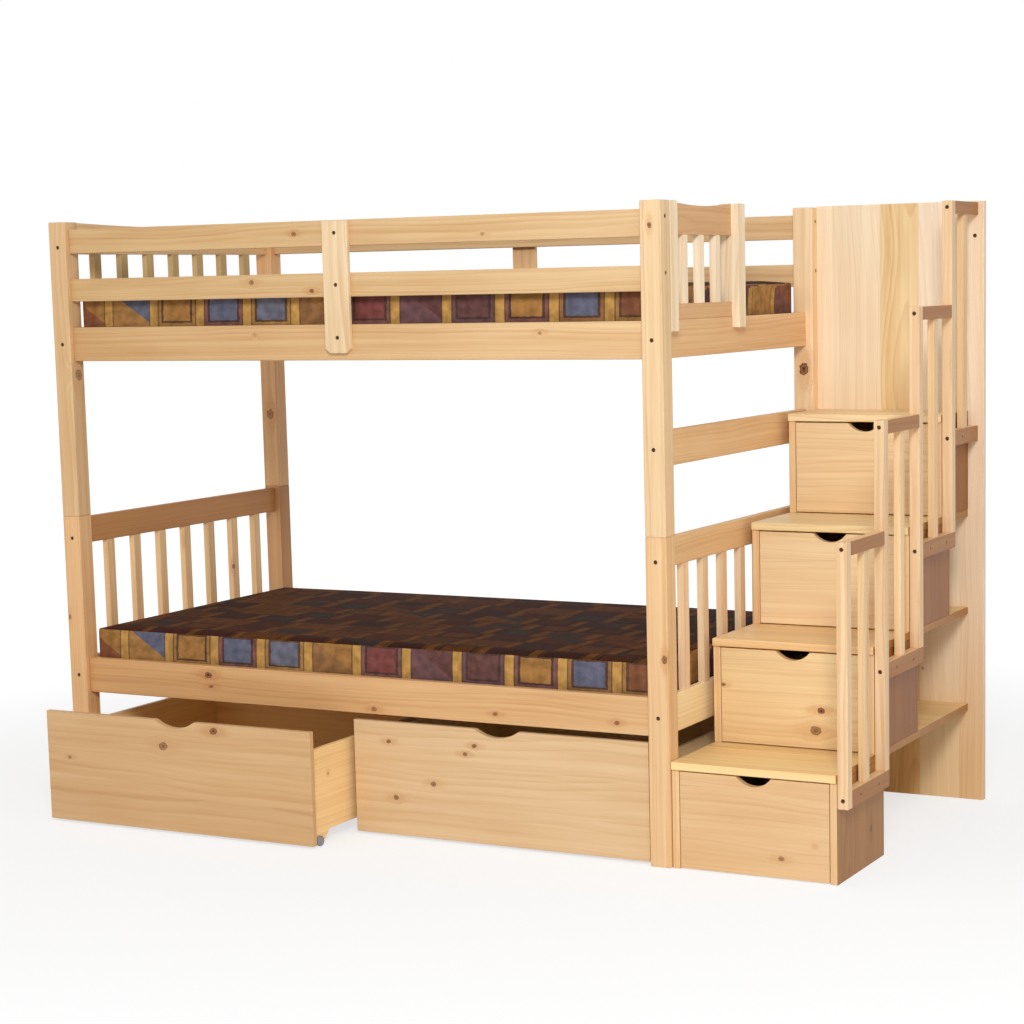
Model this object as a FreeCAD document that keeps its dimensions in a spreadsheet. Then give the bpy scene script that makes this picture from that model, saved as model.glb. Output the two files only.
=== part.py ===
import FreeCAD, Part
import Sketcher
import math
import os
import re

# Bunk bed with storage stairs, in solid pine. Millimetres, +Z up.
# X runs along the bed, from its closed end to the stairs. Y runs from the open front to the wall.
# Sizes are measured from the front right foot of the bed. The model's origin lies on the floor
# in the middle of the whole footprint, with the left floor drawer pulled out.

Vector = FreeCAD.Vector
doc = FreeCAD.newDocument("bunk_bed")
sheet = doc.addObject("Spreadsheet::Sheet", "sizes")

driving_sizes = {
    # bed frame
    "bed_length": 2030,
    "bed_width": 1110,
    "bed_height": 1778,
    "post_wide": 62,
    "post_deep": 58,
    "post_split": 895,
    "dowel_radius": 8,
    "dowel_length": 90,
    "rail_thick": 25,
    "rail_recess": 15,
    "end_thick": 20,
    "end_recess": 22,
    "lower_rail_base": 355,
    "lower_rail_tall": 106,
    "upper_rail_drop": 414,
    "upper_rail_tall": 101,
    "guard_low_drop": 236,
    "guard_low_tall": 67,
    "guard_top_drop": 94,
    "guard_top_tall": 72,
    "head_rail_drop": 86,
    "head_rail_tall": 81,
    "cross_rail_drop": 699,
    "cross_rail_tall": 96,
    "crest_tall": 88,
    "left_crest_tall": 95,
    "crest_dip": 10,
    "end_slat_wide": 32,
    "end_slat_count": 7,
    "tie_board_wide": 84,
    "tie_board_thick": 15,
    "tie_board_centre": 1012,
    "tie_board_drop": 394,
    "tie_board_tall": 370,
    "tie_screw_rise": 64,
    # short guard beside the way in from the stairs
    "stile_thick": 60,
    "stile_lap": 30,
    "stile_wide": 47,
    "stile_far_edge": 550,
    "guard_foot_tall": 42,
    "guard_slat_wide": 28,
    "guard_slat_count": 3,
    # bed base and mattresses
    "cleat_tall": 25,
    "cleat_wide": 25,
    "cleat_lift": 3,
    "base_slat_thick": 18,
    "base_slat_wide": 70,
    "base_slat_count": 14,
    "mattress_end_gap": 2,
    "mattress_side_gap": 15,
    "mattress_thick": 146,
    "mattress_crown": 9,
    "mattress_draw_in": 7,
    "mattress_corner": 18,
    # stairs
    "stair_gap": 2,
    "stair_wide": 473,
    "stair_panel": 21,
    "stair_rise": 293,
    "stair_going": 281,
    "stair_front": 8,
    "tread_thick": 22,
    "tread_nose": 8,
    "box_deep": 348,
    "box_floor_thick": 12,
    "box_back_thick": 12,
    "back_panel_thick": 20,
    "back_panel_reach": 523,
    "back_panel_height": 1781,
    "panel_screw_across": 495,
    "panel_screw_drop": 100,
    # stair railing
    "baluster": 30,
    "railing_above_tread": 605,
    "bottom_rail_drop": 90,
    "bottom_rail_tall": 45,
    "top_rail_tall": 36,
    "railing_slat_thick": 20,
    "railing_slat_wide": 33,
    # drawers in the stairs
    "front_thick": 20,
    "front_gap": 4,
    "front_foot_gap": 3,
    "drawer_side_gap": 2,
    "drawer_board": 12,
    "drawer_tall": 190,
    "drawer_back_gap": 8,
    "run_gap": 0.5,
    "pull_wide": 100,
    "pull_deep": 25,
    # drawers on wheels under the bed
    "floor_drawer_wide": 942,
    "floor_drawer_top": 336,
    "floor_drawer_foot": 8,
    "floor_drawer_inset": 15,
    "floor_drawer_split": 6,
    "floor_front_thick": 18,
    "floor_side_thick": 15,
    "floor_side_inset": 14,
    "floor_side_base": 38,
    "floor_side_top": 278,
    "floor_side_long": 790,
    "floor_board_thick": 8,
    "foot_long": 62,
    "foot_clear": 12,
    "floor_pull_wide": 140,
    "floor_pull_deep": 22,
    "left_pulled_out": 215,
    "wheel_radius": 15,
    "wheel_thick": 11,
    "wheel_set_back": 45,
    "wheel_gap": 1,
    "axle_radius": 3,
    "axle_into_side": 12,
    "axle_play": 0.1,
    # fixings and edges
    "bolt_radius": 3,
    "bolt_head_radius": 5.5,
    "bolt_head_thick": 4,
    "bolt_sink": 1.5,
    "bolt_play": 0.4,
    "bolt_grip": 40,
    "crest_bolt_rise": 20,
    "guard_bolt_drop": 20,
    "screw_radius": 3.5,
    "screw_near": 93,
    "screw_far": 229,
    "edge_round": 3,
    "fine_round": 1.5,
    "board_corner": 14,
}
# heights that follow the tops of the posts, and lengths that follow the frame round them
following_sizes = {
    "upper_rail_base": "bed_height - upper_rail_drop",
    "guard_low_base": "bed_height - guard_low_drop",
    "guard_top_base": "bed_height - guard_top_drop",
    "cross_rail_base": "bed_height - cross_rail_drop",
    "crest_base": "bed_height - crest_tall",
    "left_crest_base": "bed_height - left_crest_tall",
    "tie_board_base": "bed_height - tie_board_drop",
    "head_rail_base": "post_split - head_rail_drop",
    "mattress_length": "bed_length - 2 * post_wide - 2 * mattress_end_gap",
    "mattress_width": "bed_width - 2 * rail_recess - 2 * rail_thick - 2 * mattress_side_gap",
}
rows = list(driving_sizes.items()) + [(alias, "=" + text) for alias, text in following_sizes.items()]
for row, (alias, value) in enumerate(rows, start=1):
    sheet.set("A%d" % row, alias)
    sheet.set("B%d" % row, str(value))
    sheet.setAlias("B%d" % row, alias)
doc.recompute()

probe = doc.addObject("App::FeaturePython", "probe")
probe.addProperty("App::PropertyFloat", "number")
alias_word = re.compile(r"\b(" + "|".join(sorted(dict(rows), key=len, reverse=True)) + r")\b")


def formula(text):
    """Point the size names in a formula at the sheet."""
    return alias_word.sub(r"sizes.\1", str(text))


def size(text):
    """The present value of a formula in the sheet's sizes."""
    probe.setExpression("number", formula(text))
    probe.recompute()
    return probe.number


def add(*terms):
    return "(" + " + ".join("(%s)" % term for term in terms) + ")"


# formulas that many pieces share, measured from the front right foot
footprint_x = "(bed_length - back_panel_reach) / 2"
footprint_y = "0 - (bed_width + floor_drawer_inset - left_pulled_out) / 2"
inner_length = "(bed_length - 2 * post_wide)"
inner_width = "(bed_width - 2 * post_deep)"
upper_rail_top = "(upper_rail_base + upper_rail_tall)"
back_panel_face = "(bed_width - back_panel_thick)"
rail_end_x = "(stair_gap + stair_wide)"


def place(piece, corner):
    for axis, text, shift in zip("xyz", corner, (footprint_x, footprint_y, "0")):
        piece.setExpression("Placement.Base." + axis, formula(add(text, shift)))


def origin_plane(body, role):
    return [part for part in body.Origin.OriginFeatures if part.Role == role][0]


def new_sketch(body, role, name, lift=None):
    sketch = body.newObject("Sketcher::SketchObject", name)
    sketch.AttachmentSupport = [(origin_plane(body, role), "")]
    sketch.MapMode = "FlatFace"
    if lift is not None:
        sketch.setExpression("AttachmentOffset.Base.z", formula(lift))
    return sketch


def bind(sketch, constraint, text):
    number = sketch.addConstraint(constraint)
    sketch.renameConstraint(number, "size_%d" % number)
    sketch.setExpression("Constraints.size_%d" % number, formula(text))


def outline(sketch, points):
    """A closed outline of straight lines through points given as formulas."""
    spots = [Vector(size(across), size(along), 0) for across, along in points]
    count = len(spots)
    for index in range(count):
        sketch.addGeometry(Part.LineSegment(spots[index], spots[(index + 1) % count]), False)
    for index in range(count):
        sketch.addConstraint(Sketcher.Constraint("Coincident", index, 2, (index + 1) % count, 1))
    for index, (across, along) in enumerate(points):
        for kind, text, place_now in (("DistanceX", across, spots[index].x), ("DistanceY", along, spots[index].y)):
            if abs(place_now) < 1e-9:
                target = -2 if kind == "DistanceX" else -1
                sketch.addConstraint(Sketcher.Constraint("PointOnObject", index, 1, target))
            else:
                bind(sketch, Sketcher.Constraint(kind, -1, 1, index, 1, place_now), text)


def circles(sketch, spots, radius):
    for across, along in spots:
        centre = Vector(size(across), size(along), 0)
        number = sketch.addGeometry(Part.Circle(centre, Vector(0, 0, 1), size(radius)), False)
        bind(sketch, Sketcher.Constraint("DistanceX", -1, 1, number, 3, centre.x), across)
        bind(sketch, Sketcher.Constraint("DistanceY", -1, 1, number, 3, centre.y), along)
        bind(sketch, Sketcher.Constraint("Radius", number, size(radius)), radius)


def new_body(label):
    body = doc.addObject("PartDesign::Body", label)
    body.Label = label
    return body


def pad(body, sketch, length, name="pad", reverse=False):
    feature = body.newObject("PartDesign::Pad", body.Name + "_" + name)
    feature.Profile = sketch
    feature.Reversed = reverse
    feature.setExpression("Length", formula(length))
    sketch.Visibility = False
    return feature


def pocket(body, sketch, depth, name, reverse=False):
    feature = body.newObject("PartDesign::Pocket", body.Name + "_" + name)
    feature.Profile = sketch
    feature.Reversed = reverse
    feature.setExpression("Length", formula(depth))
    sketch.Visibility = False
    return feature


def round_over(body, base, radius):
    doc.recompute()
    fillet = body.newObject("PartDesign::Fillet", body.Name + "_edges")
    fillet.Base = (base, ["Edge1"])
    fillet.UseAllEdges = True
    fillet.setExpression("Radius", formula(radius))
    return fillet


def board(label, dimensions, corner, radius="edge_round"):
    """A sawn board with softened edges: its three dimensions and its low corner as formulas."""
    body = new_body(label)
    sketch = new_sketch(body, "XY_Plane", label + "_section")
    along, across, tall = dimensions
    outline(sketch, [("0", "0"), (along, "0"), (along, across), ("0", across)])
    base = pad(body, sketch, tall)
    if radius:
        round_over(body, base, radius)
    place(body, corner)
    return body


def profile_board(label, role, points, thickness, corner, radius=None, reverse=False):
    """A board sawn to an outline in one of its own planes."""
    body = new_body(label)
    base = pad(body, new_outline(body, role, points), thickness, reverse=reverse)
    if radius:
        round_over(body, base, radius)
    place(body, corner)
    return body


def new_outline(body, role, points):
    sketch = new_sketch(body, role, body.Name + "_outline")
    outline(sketch, points)
    return sketch


def drill(body, role, spots, radius, depth, name, lift=None, reverse=False):
    sketch = new_sketch(body, role, body.Name + "_" + name, lift)
    circles(sketch, spots, radius)
    return pocket(body, sketch, depth, name + "_cut", reverse)


def group(label, pieces):
    compound = doc.addObject("Part::Compound", label)
    compound.Label = label
    compound.Links = pieces
    return compound


nodes = []

# ---------------------------------------------------------------- posts
end_bolt_x = "(end_recess + end_thick / 2)"
side_bolt_y = "(rail_recess + rail_thick / 2)"
lower_bolts = ["lower_rail_base + lower_rail_tall / 2", "head_rail_base + crest_bolt_rise"]
upper_bolts = {
    "left": ["upper_rail_base + upper_rail_tall / 2", "left_crest_base + crest_bolt_rise"],
    "right": ["cross_rail_base + cross_rail_tall / 2", "upper_rail_base + upper_rail_tall / 2"],
}
guard_bolts = [
    "guard_low_base + guard_low_tall - guard_bolt_drop",
    "guard_top_base + guard_top_tall - guard_bolt_drop",
]
bolts = []


def post(tier, side, face):
    """One half of a corner post, drilled for the rails that meet it and for its dowel."""
    label = "%s_%s_%s_post" % (tier, face, side)
    corner_x = "0 - bed_length" if side == "left" else "0 - post_wide"
    corner_y = "0" if face == "front" else "bed_width - post_deep"
    base = "0" if tier == "lower" else "post_split"
    tall = "post_split" if tier == "lower" else "bed_height - post_split"
    body = board(label, ("post_wide", "post_deep", tall), (corner_x, corner_y, base))

    heights = lower_bolts if tier == "lower" else upper_bolts[side]
    across = end_bolt_x if side == "left" else "post_wide - " + end_bolt_x
    spots = [(across, "%s - %s" % (height, base)) for height in heights]
    lift = None if face == "front" else "0 - post_deep"
    back = face == "back"
    drill(body, "XZ_Plane", spots, "bolt_head_radius + bolt_play", "bolt_head_thick + bolt_sink",
          "head_seats", lift, back)
    drill(body, "XZ_Plane", spots, "bolt_radius + bolt_play", "post_deep", "bolt_holes", lift, back)
    for height in heights:
        bolts.append((add(corner_x, across), corner_y if not back else "bed_width", height, (0, 1 if not back else -1, 0)))

    if tier == "upper":
        along = side_bolt_y if face == "front" else "post_deep - " + side_bolt_y
        spots = [(along, "%s - %s" % (height, base)) for height in guard_bolts]
        lift = "post_wide" if side == "right" else None
        drill(body, "YZ_Plane", spots, "bolt_head_radius + bolt_play", "bolt_head_thick + bolt_sink",
              "side_seats", lift, side == "left")
        drill(body, "YZ_Plane", spots, "bolt_radius + bolt_play", "post_wide", "side_holes", lift, side == "left")
        for height in guard_bolts:
            start = "0" if side == "right" else "0 - bed_length"
            bolts.append((start, add(corner_y, along), height, (-1 if side == "right" else 1, 0, 0)))

    centre = [("post_wide / 2", "post_deep / 2")]
    depth = "dowel_length / 2 + 1"
    if tier == "lower":
        drill(body, "XY_Plane", centre, "dowel_radius + axle_play", depth, "dowel_hole", tall)
    else:
        drill(body, "XY_Plane", centre, "dowel_radius + axle_play", depth, "dowel_hole", None, True)
    return body


corners = [(side, face) for side in ("left", "right") for face in ("front", "back")]
for tier in ("lower", "upper"):
    for side, face in corners:
        nodes.append(post(tier, side, face))


def rod(label, radius, length, centre, axis="z"):
    piece = doc.addObject("Part::Cylinder", label)
    piece.setExpression("Radius", formula(radius))
    piece.setExpression("Height", formula(length))
    if axis == "x":
        piece.Placement.Rotation = FreeCAD.Rotation(Vector(0, 0, 1), Vector(1, 0, 0))
    if axis == "y":
        piece.Placement.Rotation = FreeCAD.Rotation(Vector(0, 0, 1), Vector(0, 1, 0))
    place(piece, centre)
    return piece


dowels = []
for side, face in corners:
    centre_x = "0 - bed_length + post_wide / 2" if side == "left" else "0 - post_wide / 2"
    centre_y = "post_deep / 2" if face == "front" else "bed_width - post_deep / 2"
    dowels.append(rod("dowel_%s_%s" % (face, side), "dowel_radius", "dowel_length",
                      (centre_x, centre_y, "post_split - dowel_length / 2")))
nodes.append(group("post_dowels", dowels))

caps = []

# ---------------------------------------------------------------- side rails and guard rails
front_rail_y = "rail_recess"
back_rail_y = "bed_width - rail_recess - rail_thick"
rail_start_x = "0 - bed_length + post_wide"
bolt_in_rail = "bolt_grip + bolt_play"


def side_rail(label, face, base, tall, drilled=False):
    body = board(label, (inner_length, "rail_thick", tall),
                 (rail_start_x, front_rail_y if face == "front" else back_rail_y, base))
    if drilled:
        spot = [("rail_thick / 2", "%s - guard_bolt_drop" % tall)]
        drill(body, "YZ_Plane", spot, "bolt_radius + bolt_play", bolt_in_rail, "left_hole", None, True)
        drill(body, "YZ_Plane", spot, "bolt_radius + bolt_play", bolt_in_rail, "right_hole", inner_length)
    return body


for face in ("front", "back"):
    nodes.append(side_rail("lower_%s_rail" % face, face, "lower_rail_base", "lower_rail_tall"))
    nodes.append(side_rail("upper_%s_rail" % face, face, "upper_rail_base", "upper_rail_tall"))
    pair = [
        side_rail(face + "_guard_low", face, "guard_low_base", "guard_low_tall", True),
        side_rail(face + "_guard_high", face, "guard_top_base", "guard_top_tall", True),
    ]
    nodes.append(group(face + "_guard_rails", pair))


def tie_board(face):
    """An upright that ties the guard rails to the bed's side rail, with three screws."""
    label = face + "_tie_board"
    corner_y = "rail_recess - tie_board_thick" if face == "front" else "bed_width - rail_recess"
    corner = ("0 - tie_board_centre - tie_board_wide / 2", corner_y, "tie_board_base")
    body = new_body(label)
    sketch = new_sketch(body, "XZ_Plane", label + "_outline")
    outline(sketch, [("board_corner", "0"), ("tie_board_wide - board_corner", "0"),
                     ("tie_board_wide", "board_corner"), ("tie_board_wide", "tie_board_tall"),
                     ("0", "tie_board_tall"), ("0", "board_corner")])
    base = pad(body, sketch, "tie_board_thick", reverse=True)
    round_over(body, base, "edge_round")
    heights = ["upper_rail_base + tie_screw_rise - tie_board_base",
               "guard_low_base + guard_low_tall / 2 - tie_board_base",
               "guard_top_base + guard_top_tall / 2 - tie_board_base"]
    lift = None if face == "front" else "0 - tie_board_thick"
    drill(body, "XZ_Plane", [("tie_board_wide / 2", text) for text in heights],
          "bolt_head_radius + bolt_play", "bolt_head_thick + bolt_sink", "screw_seats", lift, face == "back")
    start_y = "rail_recess - tie_board_thick" if face == "front" else "bed_width - rail_recess + tie_board_thick"
    for text in heights:
        caps.append(("0 - tie_board_centre", start_y, add("tie_board_base", text), (0, 1 if face == "front" else -1, 0)))
    place(body, corner)
    return body


nodes.append(tie_board("front"))
nodes.append(tie_board("back"))


# ---------------------------------------------------------------- end frames
def end_x(side):
    return "0 - bed_length + end_recess" if side == "left" else "0 - end_recess - end_thick"


def end_rail(label, side, base, tall, bolt_rise):
    """A rail across the end of the bed, bolted through the posts into its end grain."""
    body = board(label, ("end_thick", inner_width, tall), (end_x(side), "post_deep", base))
    spot = [("end_thick / 2", bolt_rise)]
    drill(body, "XZ_Plane", spot, "bolt_radius + bolt_play", bolt_in_rail, "front_hole")
    drill(body, "XZ_Plane", spot, "bolt_radius + bolt_play", bolt_in_rail, "back_hole", "0 - " + inner_width, True)
    return body


def crest_rail(label, side, start_y, long, tall, bolted):
    """A top rail whose upper edge dips in a shallow arc between its ends."""
    body = new_body(label)
    sketch = new_sketch(body, "YZ_Plane", label + "_outline")
    radius = "((%s) * (%s) / 4 + crest_dip * crest_dip) / (2 * crest_dip)" % (long, long)
    length, height, bend = size(long), size(tall), size(radius)
    low_left, low_right = Vector(0, 0, 0), Vector(length, 0, 0)
    top_left, top_right = Vector(0, height, 0), Vector(length, height, 0)
    circle = Part.Circle(Vector(length / 2, height - size("crest_dip") + bend, 0), Vector(0, 0, 1), bend)
    half_turn = math.asin(length / 2 / bend)
    down = 1.5 * math.pi
    sketch.addGeometry(Part.LineSegment(low_left, low_right), False)
    sketch.addGeometry(Part.LineSegment(low_right, top_right), False)
    sketch.addGeometry(Part.ArcOfCircle(circle, down - half_turn, down + half_turn), False)
    sketch.addGeometry(Part.LineSegment(top_left, low_left), False)
    sketch.addConstraint(Sketcher.Constraint("Coincident", 0, 2, 1, 1))
    sketch.addConstraint(Sketcher.Constraint("Coincident", 1, 2, 2, 2))
    sketch.addConstraint(Sketcher.Constraint("Coincident", 2, 1, 3, 1))
    sketch.addConstraint(Sketcher.Constraint("Coincident", 3, 2, 0, 1))
    sketch.addConstraint(Sketcher.Constraint("Coincident", 0, 1, -1, 1))
    sketch.addConstraint(Sketcher.Constraint("PointOnObject", 0, 2, -1))
    sketch.addConstraint(Sketcher.Constraint("Vertical", 1))
    sketch.addConstraint(Sketcher.Constraint("PointOnObject", 3, 1, -2))
    bind(sketch, Sketcher.Constraint("DistanceX", -1, 1, 0, 2, length), long)
    bind(sketch, Sketcher.Constraint("DistanceY", -1, 1, 1, 2, height), tall)
    bind(sketch, Sketcher.Constraint("DistanceY", -1, 1, 3, 1, height), tall)
    bind(sketch, Sketcher.Constraint("Radius", 2, bend), radius)
    base = pad(body, sketch, "end_thick")
    round_over(body, base, "fine_round")
    if bolted:
        spot = [("end_thick / 2", "crest_bolt_rise")]
        drill(body, "XZ_Plane", spot, "bolt_radius + bolt_play", bolt_in_rail, "front_hole")
        drill(body, "XZ_Plane", spot, "bolt_radius + bolt_play", bolt_in_rail, "back_hole", "0 - " + long, True)
    place(body, (end_x(side), start_y, "bed_height - " + tall))
    return body


def slat_row(label, side, wide, count, start_y, span, base, tall):
    """Upright slats spaced evenly along Y in a span between two uprights."""
    body = new_body(label)
    body.AllowCompound = True
    sketch = new_sketch(body, "XY_Plane", label + "_section")
    outline(sketch, [("0", "0"), ("end_thick", "0"), ("end_thick", wide), ("0", wide)])
    base_pad = pad(body, sketch, tall)
    space = "((%s - %s * %s) / (%s + 1))" % (span, count, wide, count)
    row = body.newObject("PartDesign::LinearPattern", label + "_row")
    row.Originals = [base_pad]
    row.Direction = (sketch, ["V_Axis"])
    row.setExpression("Occurrences", formula(count))
    row.setExpression("Length", formula("(%s + %s) * (%s - 1)" % (space, wide, count)))
    body.Tip = row
    place(body, (end_x(side), add(start_y, space), base))
    return body


for side in ("left", "right"):
    nodes.append(end_rail("lower_%s_foot_rail" % side, side, "lower_rail_base", "lower_rail_tall", "lower_rail_tall / 2"))
    nodes.append(end_rail("lower_%s_head_rail" % side, side, "head_rail_base", "head_rail_tall", "crest_bolt_rise"))
    nodes.append(slat_row("lower_%s_slats" % side, side, "end_slat_wide", "end_slat_count", "post_deep", inner_width,
                          "lower_rail_base + lower_rail_tall", "head_rail_base - lower_rail_base - lower_rail_tall"))
    nodes.append(end_rail("upper_%s_rail" % side, side, "upper_rail_base", "upper_rail_tall", "upper_rail_tall / 2"))
nodes.append(crest_rail("upper_left_crest_rail", "left", "post_deep", inner_width, "left_crest_tall", True))
nodes.append(slat_row("upper_left_slats", "left", "end_slat_wide", "end_slat_count", "post_deep", inner_width,
                      upper_rail_top, "left_crest_base - " + upper_rail_top))
nodes.append(end_rail("right_cross_rail", "right", "cross_rail_base", "cross_rail_tall", "cross_rail_tall / 2"))

# ---------------------------------------------------------------- short guard beside the stairs
guard_start = "(post_deep + stile_wide)"
guard_span = "(stile_far_edge - 2 * stile_wide - post_deep)"


def stile(label, start_y):
    """An upright whose foot is notched over the bed's end rail."""
    points = [("stile_thick", "0"), ("stile_thick", "bed_height - %s + stile_lap" % upper_rail_top),
              ("0", "bed_height - %s + stile_lap" % upper_rail_top), ("0", "stile_lap"),
              ("stile_thick - end_recess", "stile_lap"), ("stile_thick - end_recess", "0")]
    return profile_board(label, "XZ_Plane", points, "stile_wide",
                         ("0 - stile_thick", start_y, upper_rail_top + " - stile_lap"), "fine_round", True)


nodes.append(group("stair_guard_stiles", [
    stile("guard_stile_near", "post_deep"),
    stile("guard_stile_far", "stile_far_edge - stile_wide"),
]))
foot = board("stair_guard_foot", ("end_thick", guard_span, "guard_foot_tall"),
             (end_x("right"), guard_start, upper_rail_top), "fine_round")
crest = crest_rail("stair_guard_crest", "right", guard_start, guard_span, "crest_tall", False)
nodes.append(group("stair_guard_rails", [foot, crest]))
nodes.append(slat_row("stair_guard_slats", "right", "guard_slat_wide", "guard_slat_count", guard_start, guard_span,
                      upper_rail_top + " + guard_foot_tall",
                      "crest_base - guard_foot_tall - " + upper_rail_top))

# ---------------------------------------------------------------- bed bases and mattresses
cleats = []
for tier in ("lower", "upper"):
    for face in ("front", "back"):
        corner_y = "rail_recess + rail_thick" if face == "front" else "bed_width - rail_recess - rail_thick - cleat_wide"
        cleats.append(board("%s_%s_cleat" % (tier, face), (inner_length, "cleat_wide", "cleat_tall"),
                            (rail_start_x, corner_y, tier + "_rail_base + cleat_lift"), None))
nodes.append(group("bed_cleats", cleats))


def base_slats(tier):
    label = tier + "_base_slats"
    body = new_body(label)
    body.AllowCompound = True
    sketch = new_sketch(body, "XY_Plane", label + "_section")
    long = "(bed_width - 2 * rail_recess - 2 * rail_thick)"
    outline(sketch, [("0", "0"), ("base_slat_wide", "0"), ("base_slat_wide", long), ("0", long)])
    first = pad(body, sketch, "base_slat_thick")
    space = "((%s - base_slat_count * base_slat_wide) / (base_slat_count + 1))" % inner_length
    row = body.newObject("PartDesign::LinearPattern", label + "_row")
    row.Originals = [first]
    row.Direction = (sketch, ["H_Axis"])
    row.setExpression("Occurrences", formula("base_slat_count"))
    row.setExpression("Length", formula("(%s + base_slat_wide) * (base_slat_count - 1)" % space))
    body.Tip = row
    place(body, (add(rail_start_x, space), "rail_recess + rail_thick", tier + "_rail_base + cleat_lift + cleat_tall"))
    return body


def mattress(tier):
    """A closed pad with a crowned top, sides drawn in at mid length and rounded corners."""
    long, wide, thick = size("mattress_length"), size("mattress_width"), size("mattress_thick")
    crown, draw, corner = size("mattress_crown"), size("mattress_draw_in"), size("mattress_corner")
    quarter = corner * (1 - math.cos(math.pi / 4))
    stations = [(0, corner, 0), (quarter, quarter, 0.3), (corner, 0, 0.6), (long / 2, draw, 1),
                (long - corner, 0, 0.6), (long - quarter, quarter, 0.3), (long, corner, 0)]
    wires = []
    for along, inset, swell in stations:
        low_near, low_far = Vector(along, inset, 0), Vector(along, wide - inset, 0)
        edge_high = thick - crown
        high_near, high_far = Vector(along, inset, edge_high), Vector(along, wide - inset, edge_high)
        top = Vector(along, wide / 2, edge_high + crown * max(swell, 0.2))
        wires.append(Part.Wire([
            Part.makeLine(low_near, low_far),
            Part.makeLine(low_far, high_far),
            Part.Arc(high_far, top, high_near).toShape(),
            Part.makeLine(high_near, low_near),
        ]))
    label = tier + "_mattress"
    piece = doc.addObject("Part::Feature", label)
    piece.Label = label
    piece.Shape = Part.makeLoft(wires, True, True)
    place(piece, ("0 - bed_length / 2 - mattress_length / 2", "bed_width / 2 - mattress_width / 2",
                  tier + "_rail_base + cleat_lift + cleat_tall + base_slat_thick + axle_play * 3"))
    return piece


for tier in ("lower", "upper"):
    nodes.append(base_slats(tier))
    nodes.append(mattress(tier))


# ---------------------------------------------------------------- stairs
def step_front(number):
    return "(stair_front + stair_going * %d)" % (number - 1)


def tread_top(number):
    return "(stair_rise * %d)" % number


def box_depth(number):
    """The last box is shorter, because it stops at the back panel."""
    if number < 4:
        return "box_deep"
    return "(%s - %s)" % (back_panel_face, step_front(4))


def stair_box(number):
    """Two sides, a floor and a back: the drawer fills its open front."""
    label = "stair_box_%d" % number
    start_y = step_front(number)
    base = tread_top(number - 1)
    tall = "stair_rise - tread_thick"
    deep = box_depth(number)
    inside = "stair_wide - 2 * stair_panel"
    left = board(label + "_left_side", ("stair_panel", deep, tall), ("stair_gap", start_y, base), "fine_round")
    right = board(label + "_right_side", ("stair_panel", deep, tall),
                  (rail_end_x + " - stair_panel", start_y, base), "fine_round")
    floor = board(label + "_floor", (inside, deep + " - front_thick - front_gap - box_back_thick", "box_floor_thick"),
                  ("stair_gap + stair_panel", start_y + " + front_thick + front_gap", base), None)
    back = board(label + "_back", (inside, "box_back_thick", tall),
                 ("stair_gap + stair_panel", add(start_y, deep) + " - box_back_thick", base), None)
    return group(label, [left, right, floor, back])


def stair_tread(number):
    return board("stair_tread_%d" % number,
                 ("stair_wide", back_panel_face + " - %s + tread_nose" % step_front(number), "tread_thick"),
                 ("stair_gap", step_front(number) + " - tread_nose", tread_top(number) + " - tread_thick"))


for number in (1, 2, 3, 4):
    nodes.append(stair_box(number))
    nodes.append(stair_tread(number))

back_panel = board("stair_back_panel", ("back_panel_reach", "back_panel_thick", "back_panel_height"),
                   ("0", back_panel_face, "0"), "fine_round")
drill(back_panel, "XZ_Plane", [("panel_screw_across", "back_panel_height - panel_screw_drop")],
      "bolt_head_radius + bolt_play", "bolt_head_thick + bolt_sink", "screw_seat")
caps.append(("panel_screw_across", back_panel_face, "back_panel_height - panel_screw_drop", (0, 1, 0)))
nodes.append(back_panel)

side_panels = []
for number in (1, 2, 3):
    start_y = add(step_front(number), "box_deep")
    side_panels.append(board("shelf_side_%d" % number,
                             ("stair_panel", back_panel_face + " - %s" % start_y, "stair_rise - tread_thick"),
                             ("stair_gap", start_y, tread_top(number - 1)), "fine_round"))
nodes.append(group("shelf_side_panels", side_panels))


# ---------------------------------------------------------------- stair railing
def bottom_rail_base(number):
    return "(%s - bottom_rail_drop)" % tread_top(number)


def railing_end(number):
    """Where the rails of a section stop: the next post, or the back panel."""
    return step_front(number + 1) if number < 4 else back_panel_face


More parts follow.
